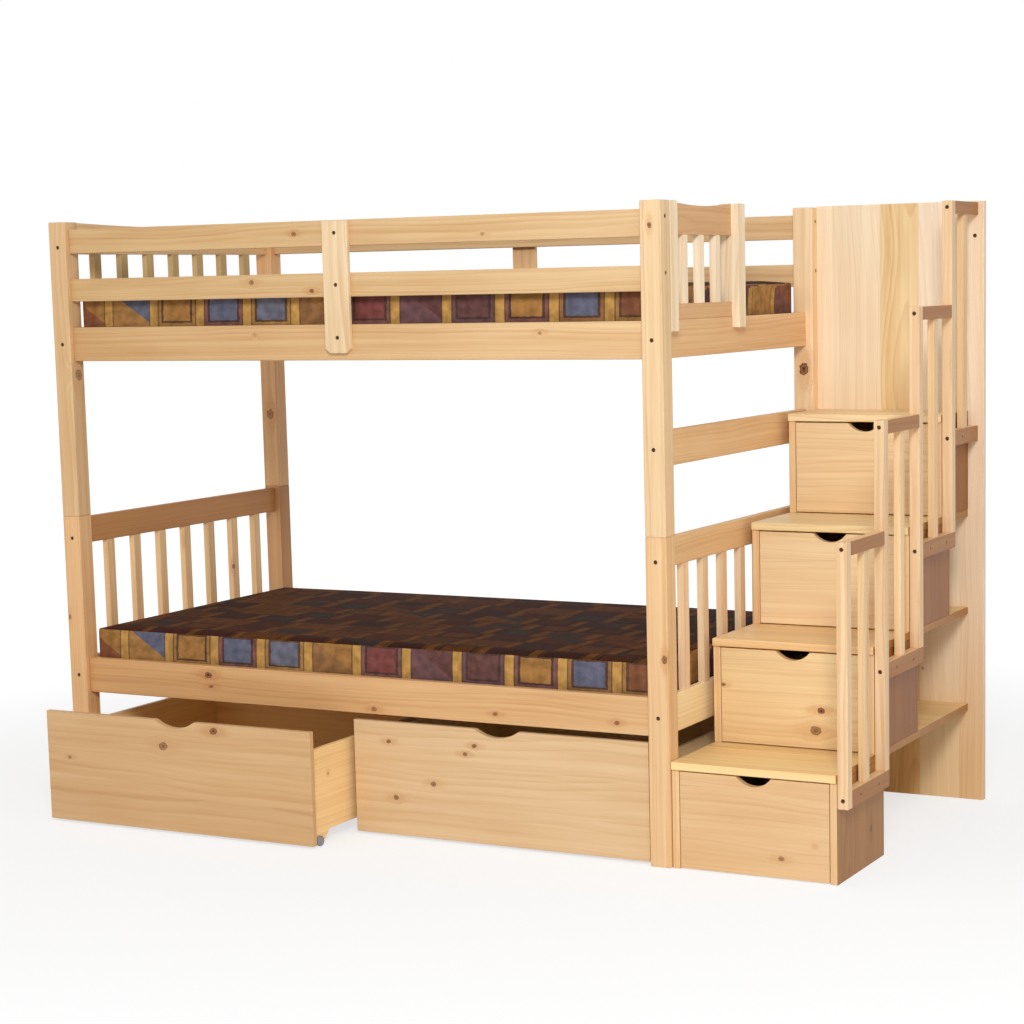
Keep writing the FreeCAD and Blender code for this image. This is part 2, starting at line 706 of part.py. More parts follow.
railing_posts, railing_slats, railing_rails = [], [], []
for number in (1, 2, 3, 4):
    start_y = step_front(number)
    foot_z = bottom_rail_base(1) if number == 1 else add(bottom_rail_base(number - 1), "bottom_rail_tall")
    top_z = add(tread_top(number), "railing_above_tread")
    upright = board("railing_post_%d" % number, ("baluster", "baluster", "%s - (%s)" % (top_z, foot_z)),
                    (rail_end_x, start_y, foot_z), "fine_round")
    spots = [("baluster / 2", "%s + bottom_rail_tall / 2 - (%s)" % (bottom_rail_base(number), foot_z)),
             ("baluster / 2", "%s - top_rail_tall / 2 - (%s)" % (top_z, foot_z))]
    drill(upright, "XZ_Plane", spots, "bolt_head_radius + bolt_play", "bolt_head_thick + bolt_sink", "head_seats")
    drill(upright, "XZ_Plane", spots, "bolt_radius + bolt_play", "baluster", "bolt_holes")
    for across, along in spots:
        bolts.append((add(rail_end_x, across), start_y, add(foot_z, along), (0, 1, 0)))
    railing_posts.append(upright)

    rail_y = add(start_y, "baluster")
    span = "%s - (%s)" % (railing_end(number), rail_y)
    low_span = span if number == 4 else add(span, "baluster")
    low_rail = board("railing_bottom_rail_%d" % number, ("baluster", low_span, "bottom_rail_tall"),
                     (rail_end_x, rail_y, bottom_rail_base(number)), "fine_round")
    drill(low_rail, "XZ_Plane", [("baluster / 2", "bottom_rail_tall / 2")], "bolt_radius + bolt_play",
          bolt_in_rail, "bolt_hole")
    screw_spots = [(text + " - baluster", "bottom_rail_tall / 2") for text in ("screw_near", "screw_far")]
    if number == 4:
        screw_spots = screw_spots[:1]
    drill(low_rail, "YZ_Plane", screw_spots, "screw_radius + bolt_play", "bolt_head_thick + bolt_sink",
          "screw_seats", "baluster")
    for along, tall in screw_spots:
        caps.append((add(rail_end_x, "baluster"), add(rail_y, along), add(bottom_rail_base(number), tall), (-1, 0, 0)))
    top_rail = board("railing_top_rail_%d" % number, ("baluster", span, "top_rail_tall"),
                     (rail_end_x, rail_y, "%s - top_rail_tall" % top_z), "fine_round")
    drill(top_rail, "XZ_Plane", [("baluster / 2", "top_rail_tall / 2")], "bolt_radius + bolt_play",
          bolt_in_rail, "bolt_hole")
    railing_rails += [low_rail, top_rail]

    slat_base = add(bottom_rail_base(number), "bottom_rail_tall")
    railing_slats.append(board(
        "railing_slat_%d" % number,
        ("railing_slat_thick", "railing_slat_wide", "%s - top_rail_tall - (%s)" % (top_z, slat_base)),
        (rail_end_x + " + baluster / 2 - railing_slat_thick / 2",
         "%s + (%s) / 2 - railing_slat_wide / 2" % (rail_y, span), slat_base), "fine_round"))
nodes.append(group("railing_posts", railing_posts))
nodes.append(group("railing_rails", railing_rails))
nodes.append(group("railing_slats", railing_slats))


# ---------------------------------------------------------------- drawers in the stairs
def pull_radius(wide, deep):
    return "((%s) * (%s) / 4 + (%s) * (%s)) / (2 * (%s))" % (wide, wide, deep, deep, deep)


def drawer_front(label, wide, thick, tall, corner, pull_wide, pull_deep):
    """A drawer front with a finger cut-out in its top edge."""
    body = board(label, (wide, thick, tall), corner, "fine_round")
    radius = pull_radius(pull_wide, pull_deep)
    drill(body, "XZ_Plane", [("(%s) / 2" % wide, "%s + %s - %s" % (tall, radius, pull_deep))],
          radius, thick, "pull")
    return body


def stair_drawer(number):
    label = "stair_drawer_%d" % number
    start_y = step_front(number)
    base = tread_top(number - 1)
    wide = "(stair_wide - 2 * stair_panel - 2 * drawer_side_gap)"
    start_x = "stair_gap + stair_panel + drawer_side_gap"
    front = drawer_front(label + "_front", wide, "front_thick", "(stair_rise - tread_thick - front_gap - front_foot_gap)",
                         (start_x, start_y, base + " + front_foot_gap"), "pull_wide", "pull_deep")
    tray_y = start_y + " + front_thick"
    tray_z = base + " + box_floor_thick + run_gap"
    deep = box_depth(number) + " - front_thick - box_back_thick - drawer_back_gap"
    left = board(label + "_left", ("drawer_board", deep, "drawer_tall"), (start_x, tray_y, tray_z), None)
    right = board(label + "_right", ("drawer_board", deep, "drawer_tall"),
                  (add(start_x, wide) + " - drawer_board", tray_y, tray_z), None)
    back = board(label + "_back", (wide + " - 2 * drawer_board", "drawer_board", "drawer_tall"),
                 (start_x + " + drawer_board", add(tray_y, deep) + " - drawer_board", tray_z), None)
    bottom = board(label + "_bottom", (wide + " - 2 * drawer_board", deep + " - drawer_board", "floor_board_thick"),
                   (start_x + " + drawer_board", tray_y, tray_z), None)
    return group(label, [front, left, right, back, bottom])


for number in (1, 2, 3, 4):
    nodes.append(stair_drawer(number))


# ---------------------------------------------------------------- drawers on wheels under the bed
def floor_drawer(side):
    """A wide low box on four fixed wheels. Its sides stand on feet that carry the wheels."""
    label = side + "_floor_drawer"
    middle = "(0 - bed_length / 2)"
    start_x = middle + (" - floor_drawer_split / 2 - floor_drawer_wide" if side == "left" else " + floor_drawer_split / 2")
    start_y = "floor_drawer_inset" + (" - left_pulled_out" if side == "left" else "")
    front = drawer_front(label + "_front", "floor_drawer_wide", "floor_front_thick",
                         "(floor_drawer_top - floor_drawer_foot)", (start_x, start_y, "floor_drawer_foot"),
                         "floor_pull_wide", "floor_pull_deep")
    side_y = start_y + " + floor_front_thick"
    arch = "(floor_side_base - foot_clear)"
    tall = "floor_side_top - foot_clear"
    rear = "floor_side_long"
    side_points = [
        ("0", "0"), ("foot_long", "0"), ("foot_long + %s" % arch, arch),
        ("%s - foot_long - %s" % (rear, arch), arch), ("%s - foot_long" % rear, "0"), (rear, "0"),
        (rear, tall), ("0", tall),
    ]
    axle_spots = [("wheel_set_back - floor_front_thick", "wheel_radius - foot_clear"),
                  (rear + " - wheel_set_back + floor_front_thick", "wheel_radius - foot_clear")]
    pieces = [front]
    for hand in ("left", "right"):
        inset = "floor_side_inset" if hand == "left" else "floor_drawer_wide - floor_side_inset - floor_side_thick"
        wall = profile_board(label + "_" + hand, "YZ_Plane", side_points, "floor_side_thick",
                             (add(start_x, inset), side_y, "foot_clear"), "fine_round")
        drill(wall, "YZ_Plane", axle_spots, "axle_radius + axle_play", "axle_into_side + axle_play", "axle_holes",
              "floor_side_thick" if hand == "right" else None, hand == "left")
        pieces.append(wall)
    inner_x = add(start_x, "floor_side_inset + floor_side_thick")
    inner_wide = "(floor_drawer_wide - 2 * floor_side_inset - 2 * floor_side_thick)"
    pieces.append(board(label + "_back", (inner_wide, "floor_side_thick", "floor_side_top - floor_side_base"),
                        (inner_x, side_y + " + floor_side_long - floor_side_thick", "floor_side_base"), None))
    pieces.append(board(label + "_bottom", (inner_wide, "floor_side_long - floor_side_thick", "floor_board_thick"),
                        (inner_x, side_y, "floor_side_base"), None))

    wheels = {}
    for row, (along, tall_text) in zip(("front", "rear"), axle_spots):
        pair = []
        for hand in ("left", "right"):
            pair.append(wheel("%s_%s_%s_wheel" % (side, row, hand), hand, start_x, add(side_y, along)))
        wheels[row] = group("%s_drawer_%s_wheels" % (side, row), pair)
    return group(label, pieces), wheels["front"], wheels["rear"]


def wheel(label, hand, start_x, centre_y):
    """A small roller with a rounded tread and a stub axle that turns in the drawer's side."""
    body = new_body(label)
    sketch = new_sketch(body, "XZ_Plane", label + "_section")
    outline(sketch, [
        ("0", "0"), ("axle_into_side + wheel_gap + wheel_thick", "0"),
        ("axle_into_side + wheel_gap + wheel_thick", "wheel_radius - edge_round"),
        ("axle_into_side + wheel_gap + wheel_thick - edge_round", "wheel_radius"),
        ("axle_into_side + wheel_gap + edge_round", "wheel_radius"),
        ("axle_into_side + wheel_gap", "wheel_radius - edge_round"),
        ("axle_into_side + wheel_gap", "axle_radius"), ("0", "axle_radius"),
    ])
    turning = body.newObject("PartDesign::Revolution", label + "_turned")
    turning.Profile = sketch
    turning.ReferenceAxis = (sketch, ["H_Axis"])
    turning.Angle = 360
    reach = "floor_side_inset + axle_into_side"
    if hand == "left":
        body.Placement.Rotation = FreeCAD.Rotation(Vector(0, 0, 1), 180)
        place(body, (add(start_x, reach), centre_y, "wheel_radius"))
    else:
        place(body, (add(start_x, "floor_drawer_wide - (%s)" % reach), centre_y, "wheel_radius"))
    return body


for side in ("left", "right"):
    nodes.extend(floor_drawer(side))


# ---------------------------------------------------------------- bolts and screws
def fastener(spot, axis, length, head_radius="bolt_head_radius"):
    """A round head with a socket, sunk below the wood, and its shank."""
    x, y, z = [size(add(text, shift)) for text, shift in zip(spot, (footprint_x, footprint_y, "0"))]
    direction = Vector(*axis)
    start = Vector(x, y, z) + direction * size("bolt_sink")
    head = Part.makeCylinder(size(head_radius), size("bolt_head_thick"), start, direction)
    if length:
        shank = Part.makeCylinder(size("bolt_radius"), length, start, direction)
        head = head.fuse(shank).removeSplitter()
    socket = Part.makeCylinder(size("bolt_radius - bolt_play"), size("bolt_head_thick / 2"), start, direction)
    return head.cut(socket)


fixings = doc.addObject("Part::Feature", "bolts_and_screws")
fixings.Label = "bolts_and_screws"
shapes = []
for x, y, z, axis in bolts:
    through = "post_wide" if axis[0] else "post_deep"
    if x.startswith("((%s)" % rail_end_x):
        through = "baluster"
    shapes.append(fastener((x, y, z), axis, size(through + " - bolt_sink + bolt_grip")))
for x, y, z, axis in caps:
    shapes.append(fastener((x, y, z), axis, 0, "screw_radius" if axis[0] else "bolt_head_radius"))
fixings.Shape = Part.makeCompound(shapes)
nodes.append(fixings)

# ---------------------------------------------------------------- check and write
doc.recompute()
faults = []
for item in doc.Objects:
    if "Invalid" in item.State or "Error" in item.State:
        faults.append("%s: %s" % (item.Name, item.State))
for piece in nodes:
    if piece.Shape.isNull() or not piece.Shape.isValid() or not piece.Shape.Solids:
        faults.append(piece.Label + ": bad shape")
if faults:
    raise RuntimeError("\n".join(faults))

os.makedirs("parts", exist_ok=True)
for piece in nodes:
    piece.Shape.exportStep("parts/%s.step" % piece.Label)
print(len(nodes), "nodes,", sum(len(piece.Shape.Solids) for piece in nodes), "solids")
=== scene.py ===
import math
import bpy
import bmesh
from mathutils import Matrix, Vector


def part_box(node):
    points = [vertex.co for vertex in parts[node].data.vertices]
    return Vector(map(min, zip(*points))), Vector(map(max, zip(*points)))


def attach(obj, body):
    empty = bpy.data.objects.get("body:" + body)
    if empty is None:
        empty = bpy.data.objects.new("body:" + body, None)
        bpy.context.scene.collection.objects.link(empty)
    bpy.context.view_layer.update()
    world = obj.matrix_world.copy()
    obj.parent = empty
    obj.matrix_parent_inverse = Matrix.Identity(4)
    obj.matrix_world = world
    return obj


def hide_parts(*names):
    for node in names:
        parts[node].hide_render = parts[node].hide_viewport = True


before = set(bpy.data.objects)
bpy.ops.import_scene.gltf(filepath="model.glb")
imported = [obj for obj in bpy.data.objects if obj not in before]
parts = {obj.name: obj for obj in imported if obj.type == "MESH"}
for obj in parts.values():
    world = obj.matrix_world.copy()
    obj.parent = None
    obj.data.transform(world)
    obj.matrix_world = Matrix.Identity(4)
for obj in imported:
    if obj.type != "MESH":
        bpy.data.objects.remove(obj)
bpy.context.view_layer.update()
print("frame loaded,", len(parts), "pieces")

# camera, at the photograph's view
cameraView = {
    "place": (3.3341, -5.8643, 1.5687),
    "turn": 27.1391,  # degrees to the left of straight ahead
    "tilt": 7.4028,  # degrees down
    "roll": -1.1657,
    "lens": 80.283,
    "sensor": 36,
    "shiftX": -0.08776,
    "shiftY": 0.06514,
    "farEnd": 200,
}
cameraData = bpy.data.cameras.new("camera")
cameraData.lens = cameraView["lens"]
cameraData.sensor_width = cameraView["sensor"]
cameraData.shift_x = cameraView["shiftX"]
cameraData.shift_y = cameraView["shiftY"]
cameraData.clip_end = cameraView["farEnd"]
camera = bpy.data.objects.new("camera", cameraData)
bpy.context.scene.collection.objects.link(camera)
camera.matrix_world = (
    Matrix.Translation(cameraView["place"])
    @ Matrix.Rotation(math.radians(cameraView["turn"]), 4, "Z")
    @ Matrix.Rotation(math.radians(90 - cameraView["tilt"]), 4, "X")
    @ Matrix.Rotation(math.radians(cameraView["roll"]), 4, "Z")
)
bpy.context.scene.camera = camera
bpy.context.scene.view_settings.view_transform = "Standard"
print("camera set")

# small helpers for node trees
socketKinds = {"vector": "NodeSocketVector", "value": "NodeSocketFloat", "colour": "NodeSocketColor"}
half = (0.5, 0.5, 0.5)


def srgb(red, green, blue):
    shades = []
    for value in (red, green, blue):
        value = value / 255
        shades.append(value / 12.92 if value <= 0.04045 else ((value + 0.055) / 1.055) ** 2.4)
    return (*shades, 1)


def addNode(tree, kind, feeds=None, **settings):
    node = tree.nodes.new(kind)
    for name, value in settings.items():
        setattr(node, name, value)
    for socket, source in (feeds or {}).items():
        if isinstance(source, bpy.types.NodeSocket):
            tree.links.new(source, node.inputs[socket])
        else:
            node.inputs[socket].default_value = source
    return node


def addGroup(tree, group, feeds):
    return addNode(tree, "ShaderNodeGroup", feeds, node_tree=group).outputs


def math1(tree, operation, *values, clamp=False):
    feeds = dict(enumerate(values))
    return addNode(tree, "ShaderNodeMath", feeds, operation=operation, use_clamp=clamp).outputs[0]


def plus(tree, first, second):
    return math1(tree, "ADD", first, second)


def minus(tree, first, second):
    return math1(tree, "SUBTRACT", first, second)


def times(tree, first, second):
    return math1(tree, "MULTIPLY", first, second)


def above(tree, value, limit):  # 1 where the value is above the limit, else 0
    return math1(tree, "GREATER_THAN", value, limit)


def larger(tree, first, second):
    return math1(tree, "MAXIMUM", first, second)


def math3(tree, operation, *values):
    node = addNode(tree, "ShaderNodeVectorMath", dict(enumerate(values)), operation=operation)
    return node.outputs["Value" if operation == "LENGTH" else "Vector"]


def plus3(tree, first, second):
    return math3(tree, "ADD", first, second)


def minus3(tree, first, second):
    return math3(tree, "SUBTRACT", first, second)


def times3(tree, first, second):
    return math3(tree, "MULTIPLY", first, second)


def scaled(tree, vector, factor):
    return addNode(tree, "ShaderNodeVectorMath", {0: vector, 3: factor}, operation="SCALE").outputs[0]


def splitXYZ(tree, vector):
    return addNode(tree, "ShaderNodeSeparateXYZ", {0: vector}).outputs


def fade(tree, value, low, high, start=0.0, end=1.0):
    feeds = {0: value, 1: low, 2: high, 3: start, 4: end}
    return addNode(tree, "ShaderNodeMapRange", feeds, interpolation_type="SMOOTHSTEP").outputs[0]


def shareBetween(tree, value, low, high):
    return addNode(tree, "ShaderNodeMapRange", {0: value, 1: low, 2: high}).outputs[0]


def noiseAt(tree, point, scale=1.0, detail=2.0, stretch=None):
    if stretch:
        point = times3(tree, point, stretch)
    feeds = {"Vector": point, "Scale": scale, "Detail": detail}
    return addNode(tree, "ShaderNodeTexNoise", feeds, noise_dimensions="3D").outputs


def chanceAt(tree, point):
    return addNode(tree, "ShaderNodeTexWhiteNoise", {"Vector": point}, noise_dimensions="3D").outputs


def mixColour(tree, factor, first, second, blend="MIX"):
    feeds = {0: factor, 6: first, 7: second}
    return addNode(tree, "ShaderNodeMix", feeds, data_type="RGBA", blend_type=blend).outputs[2]


def toned(tree, mask, colour, tone):  # the colour is multiplied by a tone where the mask is 1
    return mixColour(tree, mask, colour, mixColour(tree, 1.0, colour, (*tone, 1), "MULTIPLY"))


def colourRamp(tree, source, steps, interpolation="LINEAR"):
    node = addNode(tree, "ShaderNodeValToRGB", {0: source})
    node.color_ramp.interpolation = interpolation
    stops = node.color_ramp.elements
    for number, (place, colour) in enumerate(steps):
        stop = stops[number] if number < 2 else stops.new(place)  # a new ramp has two stops
        stop.position = max(place, 0)
        stop.color = colour
    return node.outputs


def newGroup(name, inputs, outputs):
    tree = bpy.data.node_groups.new(name, "ShaderNodeTree")
    for labels, way in ((inputs, "INPUT"), (outputs, "OUTPUT")):
        for label, kind in labels.items():
            tree.interface.new_socket(name=label, in_out=way, socket_type=socketKinds[kind])
    return tree, tree.nodes.new("NodeGroupInput").outputs, tree.nodes.new("NodeGroupOutput").inputs


def newMaterial(name):
    material = bpy.data.materials.new(name)
    material.use_nodes = True
    tree = material.node_tree
    return material, tree, tree.nodes["Principled BSDF"].inputs


def addBump(tree, surface, height, strength, distance):
    bump = addNode(tree, "ShaderNodeBump", {"Strength": strength, "Distance": distance, "Height": height})
    tree.links.new(bump.outputs[0], surface["Normal"])


def paint(name, material):
    for slotSpot in parts[name].material_slots:
        slotSpot.material = material


# pine: year rings round an offset pith, fibres, broad streaks and stray knots
pineLook = {
    "pale": (240, 203, 153),
    "deep": (208, 154, 98),
    "seed": (3.1, 5.7, 9.3),
    "slide": (11, 0, 0),  # how far apart along a trunk the boards may be cut
    "sway": (0, 0.06, 0.06),  # and how far apart across it
    "across": (0, 1, 1),
    # the pith drifts slowly along the board, which draws the long pointed arches
    "drift": {"stretch": (1.0, 0.4, 0.4), "scale": 1.3, "detail": 1.0},
    "ripple": {"stretch": (7.0, 34.0, 34.0)},
    "rippleDepth": 0.0024,
    "fibres": {"stretch": (9.0, 420.0, 420.0)},
    "streaks": {"stretch": (1.3, 55.0, 55.0), "detail": 3.0},
    "patches": {"stretch": (2.4, 7.0, 7.0)},
    "unevenRate": 45.0,  # how fast the rings' width changes outwards from the pith
    "unevenRings": 3.0,  # and by how many rings
    "faintRings": (0.3, 0.7, 0.35, 1.0),  # and where they are faint
    "ringEdge": 2.2,  # how late in a ring its dark wood comes
    "ringEnd": (1.0, 0.9),
    "ringShare": 0.62,  # how much of the deep colour each of these brings
    "streakShare": 0.42,
    "patchShare": 0.24,
    "fibreShare": 0.34,
    "clouds": (0.3, 0.75),  # range of the noise that streaks and patches use
    "roughness": 0.40,
    "fibreRoughness": 0.14,
    "knotSmoothness": 0.12,
    "fibreHeight": 0.5,
    "ringSink": 0.35,
    "knotHeight": 0.6,
    "bumpStrength": 0.25,
    "bumpDistance": 0.0006,
    "specular": 0.3,
    "coat": 0.06,
    "coatRoughness": 0.3,
}
knotLook = {
    "stain": (0.95, 0.78, 0.60, 1),
    "stainShare": 0.42,
    "rim": (0.0, 0.10),
    # from the rim inwards: dark edge, brown rings, dark heart
    "rings": [(0.0, (74, 40, 22)), (0.16, (92, 52, 28)), (0.34, (158, 104, 62)), (0.62, (134, 82, 46)),
              (0.82, (84, 46, 26)), (1.0, (52, 28, 18))],
    # stray knots
    "scale": 6.5,
    "rare": 0.72,  # a spot has a knot where its chance is above this
    "reach": 0.042,
    "leastReach": 0.0001,
    "leastSize": 0.02,
    "dark": 0.8,
    "strayStain": (2.6, 0.9),  # ranges in radii of the knot, from the outer to the inner end
    "bend": (3.2, 0.6),
    "bendRings": 0.011,  # the rings are pushed outwards this far
    # knots at chosen places
    "alongGrain": (0.75, 1.0, 1.0),
    "squeeze": (4.0, 0.5, 0.0, 0.8),  # the grain bends round the knot
    "raggedScale": 110.0,
    "ragged": 0.9,
    "stainAlongGrain": (0.35, 1.0, 1.0),
    "stainRagged": 1.6,
    "stainReach": (2.6, 0.8),
}


def makePineGroup():
    look = pineLook
    tree, given, out = newGroup("pineBoards", {
        "Point": "vector",  # the grain runs along X
        "Start": "vector",
        "Cell": "vector",  # one board for each cell
        "Pith": "vector",
        "Spacing": "value",
        "Wander": "value",
        "Contrast": "value",
        "Spread": "value",  # how far the boards' tones lie apart
        "Core": "value",  # 0 at a placed knot's rim, 1 at its heart
        "Halo": "value",
        "Depth": "value",
        "Pale": "colour",
        "Deep": "colour",
    }, {"Color": "colour", "Roughness": "value", "Height": "value"})

    fromStart = minus3(tree, given["Point"], given["Start"])
    index = math3(tree, "FLOOR", math3(tree, "DIVIDE", fromStart, given["Cell"]))
    middle = times3(tree, plus3(tree, index, half), given["Cell"])
    local = minus3(tree, fromStart, middle)
    chance = chanceAt(tree, plus3(tree, index, times3(tree, given["Start"], look["seed"])))
    shifted = plus3(tree, local, times3(tree, chance["Color"], look["slide"]))

    drift = noiseAt(tree, shifted, **look["drift"])
    driftBy = scaled(tree, minus3(tree, drift["Color"], half), given["Wander"])
    sway = times3(tree, minus3(tree, chance["Color"], half), look["sway"])
    pith = plus3(tree, plus3(tree, given["Pith"], sway), driftBy)
    radius = math3(tree, "LENGTH", times3(tree, minus3(tree, shifted, pith), look["across"]))

    # stray knots
    feeds = {"Vector": shifted, "Scale": knotLook["scale"]}
    cells = addNode(tree, "ShaderNodeTexVoronoi", feeds, voronoi_dimensions="3D", feature="F1").outputs
    dice = addNode(tree, "ShaderNodeSeparateColor", {0: cells["Color"]}).outputs
    size = times(tree, above(tree, dice[0], knotLook["rare"]), dice[1])
    reach = plus(tree, times(tree, size, knotLook["reach"]), knotLook["leastReach"])
    away = math1(tree, "DIVIDE", cells["Distance"], reach)
    isKnot = above(tree, size, knotLook["leastSize"])
    core = larger(tree, times(tree, minus(tree, 1.0, away), isKnot), given["Core"])
    halo = larger(tree, times(tree, fade(tree, away, *knotLook["strayStain"]), isKnot), given["Halo"])
    bulge = fade(tree, away, *knotLook["bend"], 0.0, knotLook["bendRings"])

    # year rings
    ripple = noiseAt(tree, shifted, **look["ripple"])[0]
    wave = times(tree, minus(tree, ripple, 0.5), look["rippleDepth"])
    rings = math1(tree, "DIVIDE", plus(tree, plus(tree, radius, wave), bulge), given["Spacing"])
    feeds = {"W": times(tree, radius, look["unevenRate"]), "Scale": 1.0, "Detail": 1.0}
    uneven = addNode(tree, "ShaderNodeTexNoise", feeds, noise_dimensions="1D").outputs[0]
    phase = math1(tree, "FRACT", plus(tree, rings, times(tree, uneven, look["unevenRings"])))
    late = times(tree, math1(tree, "POWER", phase, look["ringEdge"]), fade(tree, phase, *look["ringEnd"]))
    late = times(tree, late, fade(tree, uneven, *look["faintRings"]))

    fibres = noiseAt(tree, shifted, **look["fibres"])[0]
    streaks = fade(tree, noiseAt(tree, shifted, **look["streaks"])[0], *look["clouds"])
    patches = fade(tree, noiseAt(tree, shifted, **look["patches"])[0], *look["clouds"])
    shade = times(tree, late, look["ringShare"])
    shade = plus(tree, shade, times(tree, streaks, look["streakShare"]))
    shade = plus(tree, shade, times(tree, patches, look["patchShare"]))
    shade = plus(tree, shade, times(tree, minus(tree, fibres, 0.5), look["fibreShare"]))
    shade = math1(tree, "MULTIPLY", shade, given["Contrast"], clamp=True)
    wood = mixColour(tree, shade, given["Pale"], given["Deep"])
    tone = plus(tree, times(tree, minus(tree, chance["Value"], 0.5), given["Spread"]), 1.0)
    wood = scaled(tree, wood, tone)

    # the wood round a knot is stained
    stain = mixColour(tree, 1.0, given["Deep"], knotLook["stain"], "MULTIPLY")
    wood = mixColour(tree, times(tree, halo, knotLook["stainShare"]), wood, stain)
    heart = colourRamp(tree, core, [(place, srgb(*colour)) for place, colour in knotLook["rings"]])[0]
    darkness = larger(tree, given["Depth"], times(tree, isKnot, knotLook["dark"]))
    knot = times(tree, fade(tree, core, *knotLook["rim"]), darkness)
    wood = mixColour(tree, knot, wood, heart)
    tree.links.new(wood, out["Color"])

    rough = plus(tree, times(tree, fibres, look["fibreRoughness"]), look["roughness"])
    rough = minus(tree, rough, times(tree, knot, look["knotSmoothness"]))
    tree.links.new(rough, out["Roughness"])
    height = minus(tree, times(tree, fibres, look["fibreHeight"]), times(tree, late, look["ringSink"]))
    height = plus(tree, height, times(tree, knot, look["knotHeight"]))
    tree.links.new(height, out["Height"])
    return tree


# a knot at a chosen place: the grain bends round it
def makeKnotGroup():
    tree, given, out = newGroup("placedKnot", {
        "Point": "vector",
        "Core": "value",
        "Halo": "value",
        "Depth": "value",
        "Centre": "vector",
        "Radius": "value",
        "Dark": "value",
    }, {"Point": "vector", "Core": "value", "Halo": "value", "Depth": "value"})
    delta = minus3(tree, given["Point"], given["Centre"])
    noise = noiseAt(tree, given["Point"], knotLook["raggedScale"], 3.0)[0]
    ragged = minus(tree, noise, 0.5)
    away = math3(tree, "LENGTH", times3(tree, delta, knotLook["alongGrain"]))
    away = math1(tree, "DIVIDE", away, given["Radius"])
    away = plus(tree, away, times(tree, ragged, knotLook["ragged"]))
    squeeze = fade(tree, away, *knotLook["squeeze"])
    bent = scaled(tree, times3(tree, delta, pineLook["across"]), squeeze)
    tree.links.new(minus3(tree, given["Point"], bent), out["Point"])
    core = minus(tree, 1.0, away)
    tree.links.new(larger(tree, core, given["Core"]), out["Core"])
    inside = times(tree, above(tree, core, 0.0), given["Dark"])
    tree.links.new(larger(tree, inside, given["Depth"]), out["Depth"])
    # the stain is long along the grain
    far = math3(tree, "LENGTH", times3(tree, delta, knotLook["stainAlongGrain"]))
    far = math1(tree, "DIVIDE", far, given["Radius"])
    far = plus(tree, far, times(tree, ragged, knotLook["stainRagged"]))
    stain = times(tree, fade(tree, far, *knotLook["stainReach"]), given["Dark"])
    tree.links.new(larger(tree, stain, given["Halo"]), out["Halo"])
    return tree


pineGroup = makePineGroup()
knotGroup = makeKnotGroup()

# order in which a point's X, Y and Z reach the pine group, by the way the grain runs
grainOrder = {"x": (0, 1, 2), "y": (1, 2, 0), "z": (2, 0, 1)}
boardDefaults = {
    "pith": (0.05, 0.09),
    "spacing": 0.009,  # of the year rings
    "wander": 0.05,
    "contrast": 0.8,
    "spread": 0.10,
    "cells": {},
}
wholeCell = 100.0  # one cell round a piece that is a single board
outerSkin = 0.0016  # depth of the painted shade on the faces towards +X, the stairs' open side
stripSlide = 9.0


def reorder(vector, grain):
    return tuple(vector[axis] for axis in grainOrder[grain])


def permute(tree, place, grain):
    feeds = {spot: place[axis] for spot, axis in enumerate(grainOrder[grain])}
    return addNode(tree, "ShaderNodeCombineXYZ", feeds).outputs[0]


def tinted(colour, shade):
    red, green, blue, alpha = srgb(*colour)
    return (min(red * shade[0], 1), min(green * shade[1], 1), min(blue * shade[2], 1), alpha)


def boardCells(look, low, high):  # where the cells start and how large they are
    centre = (Vector(low) + Vector(high)) / 2
    start = [centre[axis] - wholeCell / 2 for axis in range(3)]
    cell = [wholeCell] * 3
    for axis, (first, pitch) in look["cells"].items():
        start["xyz".index(axis)] = first
        cell["xyz".index(axis)] = pitch
    return reorder(start, look["grain"]), reorder(cell, look["grain"])


def stripShades(tree, place, low, high, strips):  # glued boards side by side along X
    steps = [((edge - low) / (high - low), (*shade, contrast)) for edge, shade, contrast in strips]
    ramp = colourRamp(tree, shareBetween(tree, place, low, high), steps, "CONSTANT")
    slide = times(tree, chanceAt(tree, ramp[0])["Value"], stripSlide)
    return ramp[0], ramp[1], addNode(tree, "ShaderNodeCombineXYZ", {0: slide}).outputs[0]


def paintedLightTones(tree, colour, look, place, low, high):  # painted light and shade that change over a piece
    # painted light on the boards behind a drawer's front
    if "behind" in look:
        colour = toned(tree, above(tree, place[1], look["turn"][0]), colour, look["behind"])
    # painted shade: faces towards +X are darkened, as if turned away from the light
    if "outer" in look:
        colour = toned(tree, above(tree, place[0], high[0] - outerSkin), colour, look["outer"])
    if "ends" in look:  # painted light and shade: darker at the left end, where less light reaches, lighter at the right end
        left, right = ((*tone, 1) for tone in look["ends"])
        tone = mixColour(tree, shareBetween(tree, place[0], low[0], high[0]), left, right)
        colour = mixColour(tree, 1.0, colour, tone, "MULTIPLY")
    if "foot" in look:  # painted shade, darker towards the floor
        top, tone = look["foot"]
        colour = toned(tree, fade(tree, place[2], top, 0.0), colour, tone)
    return colour


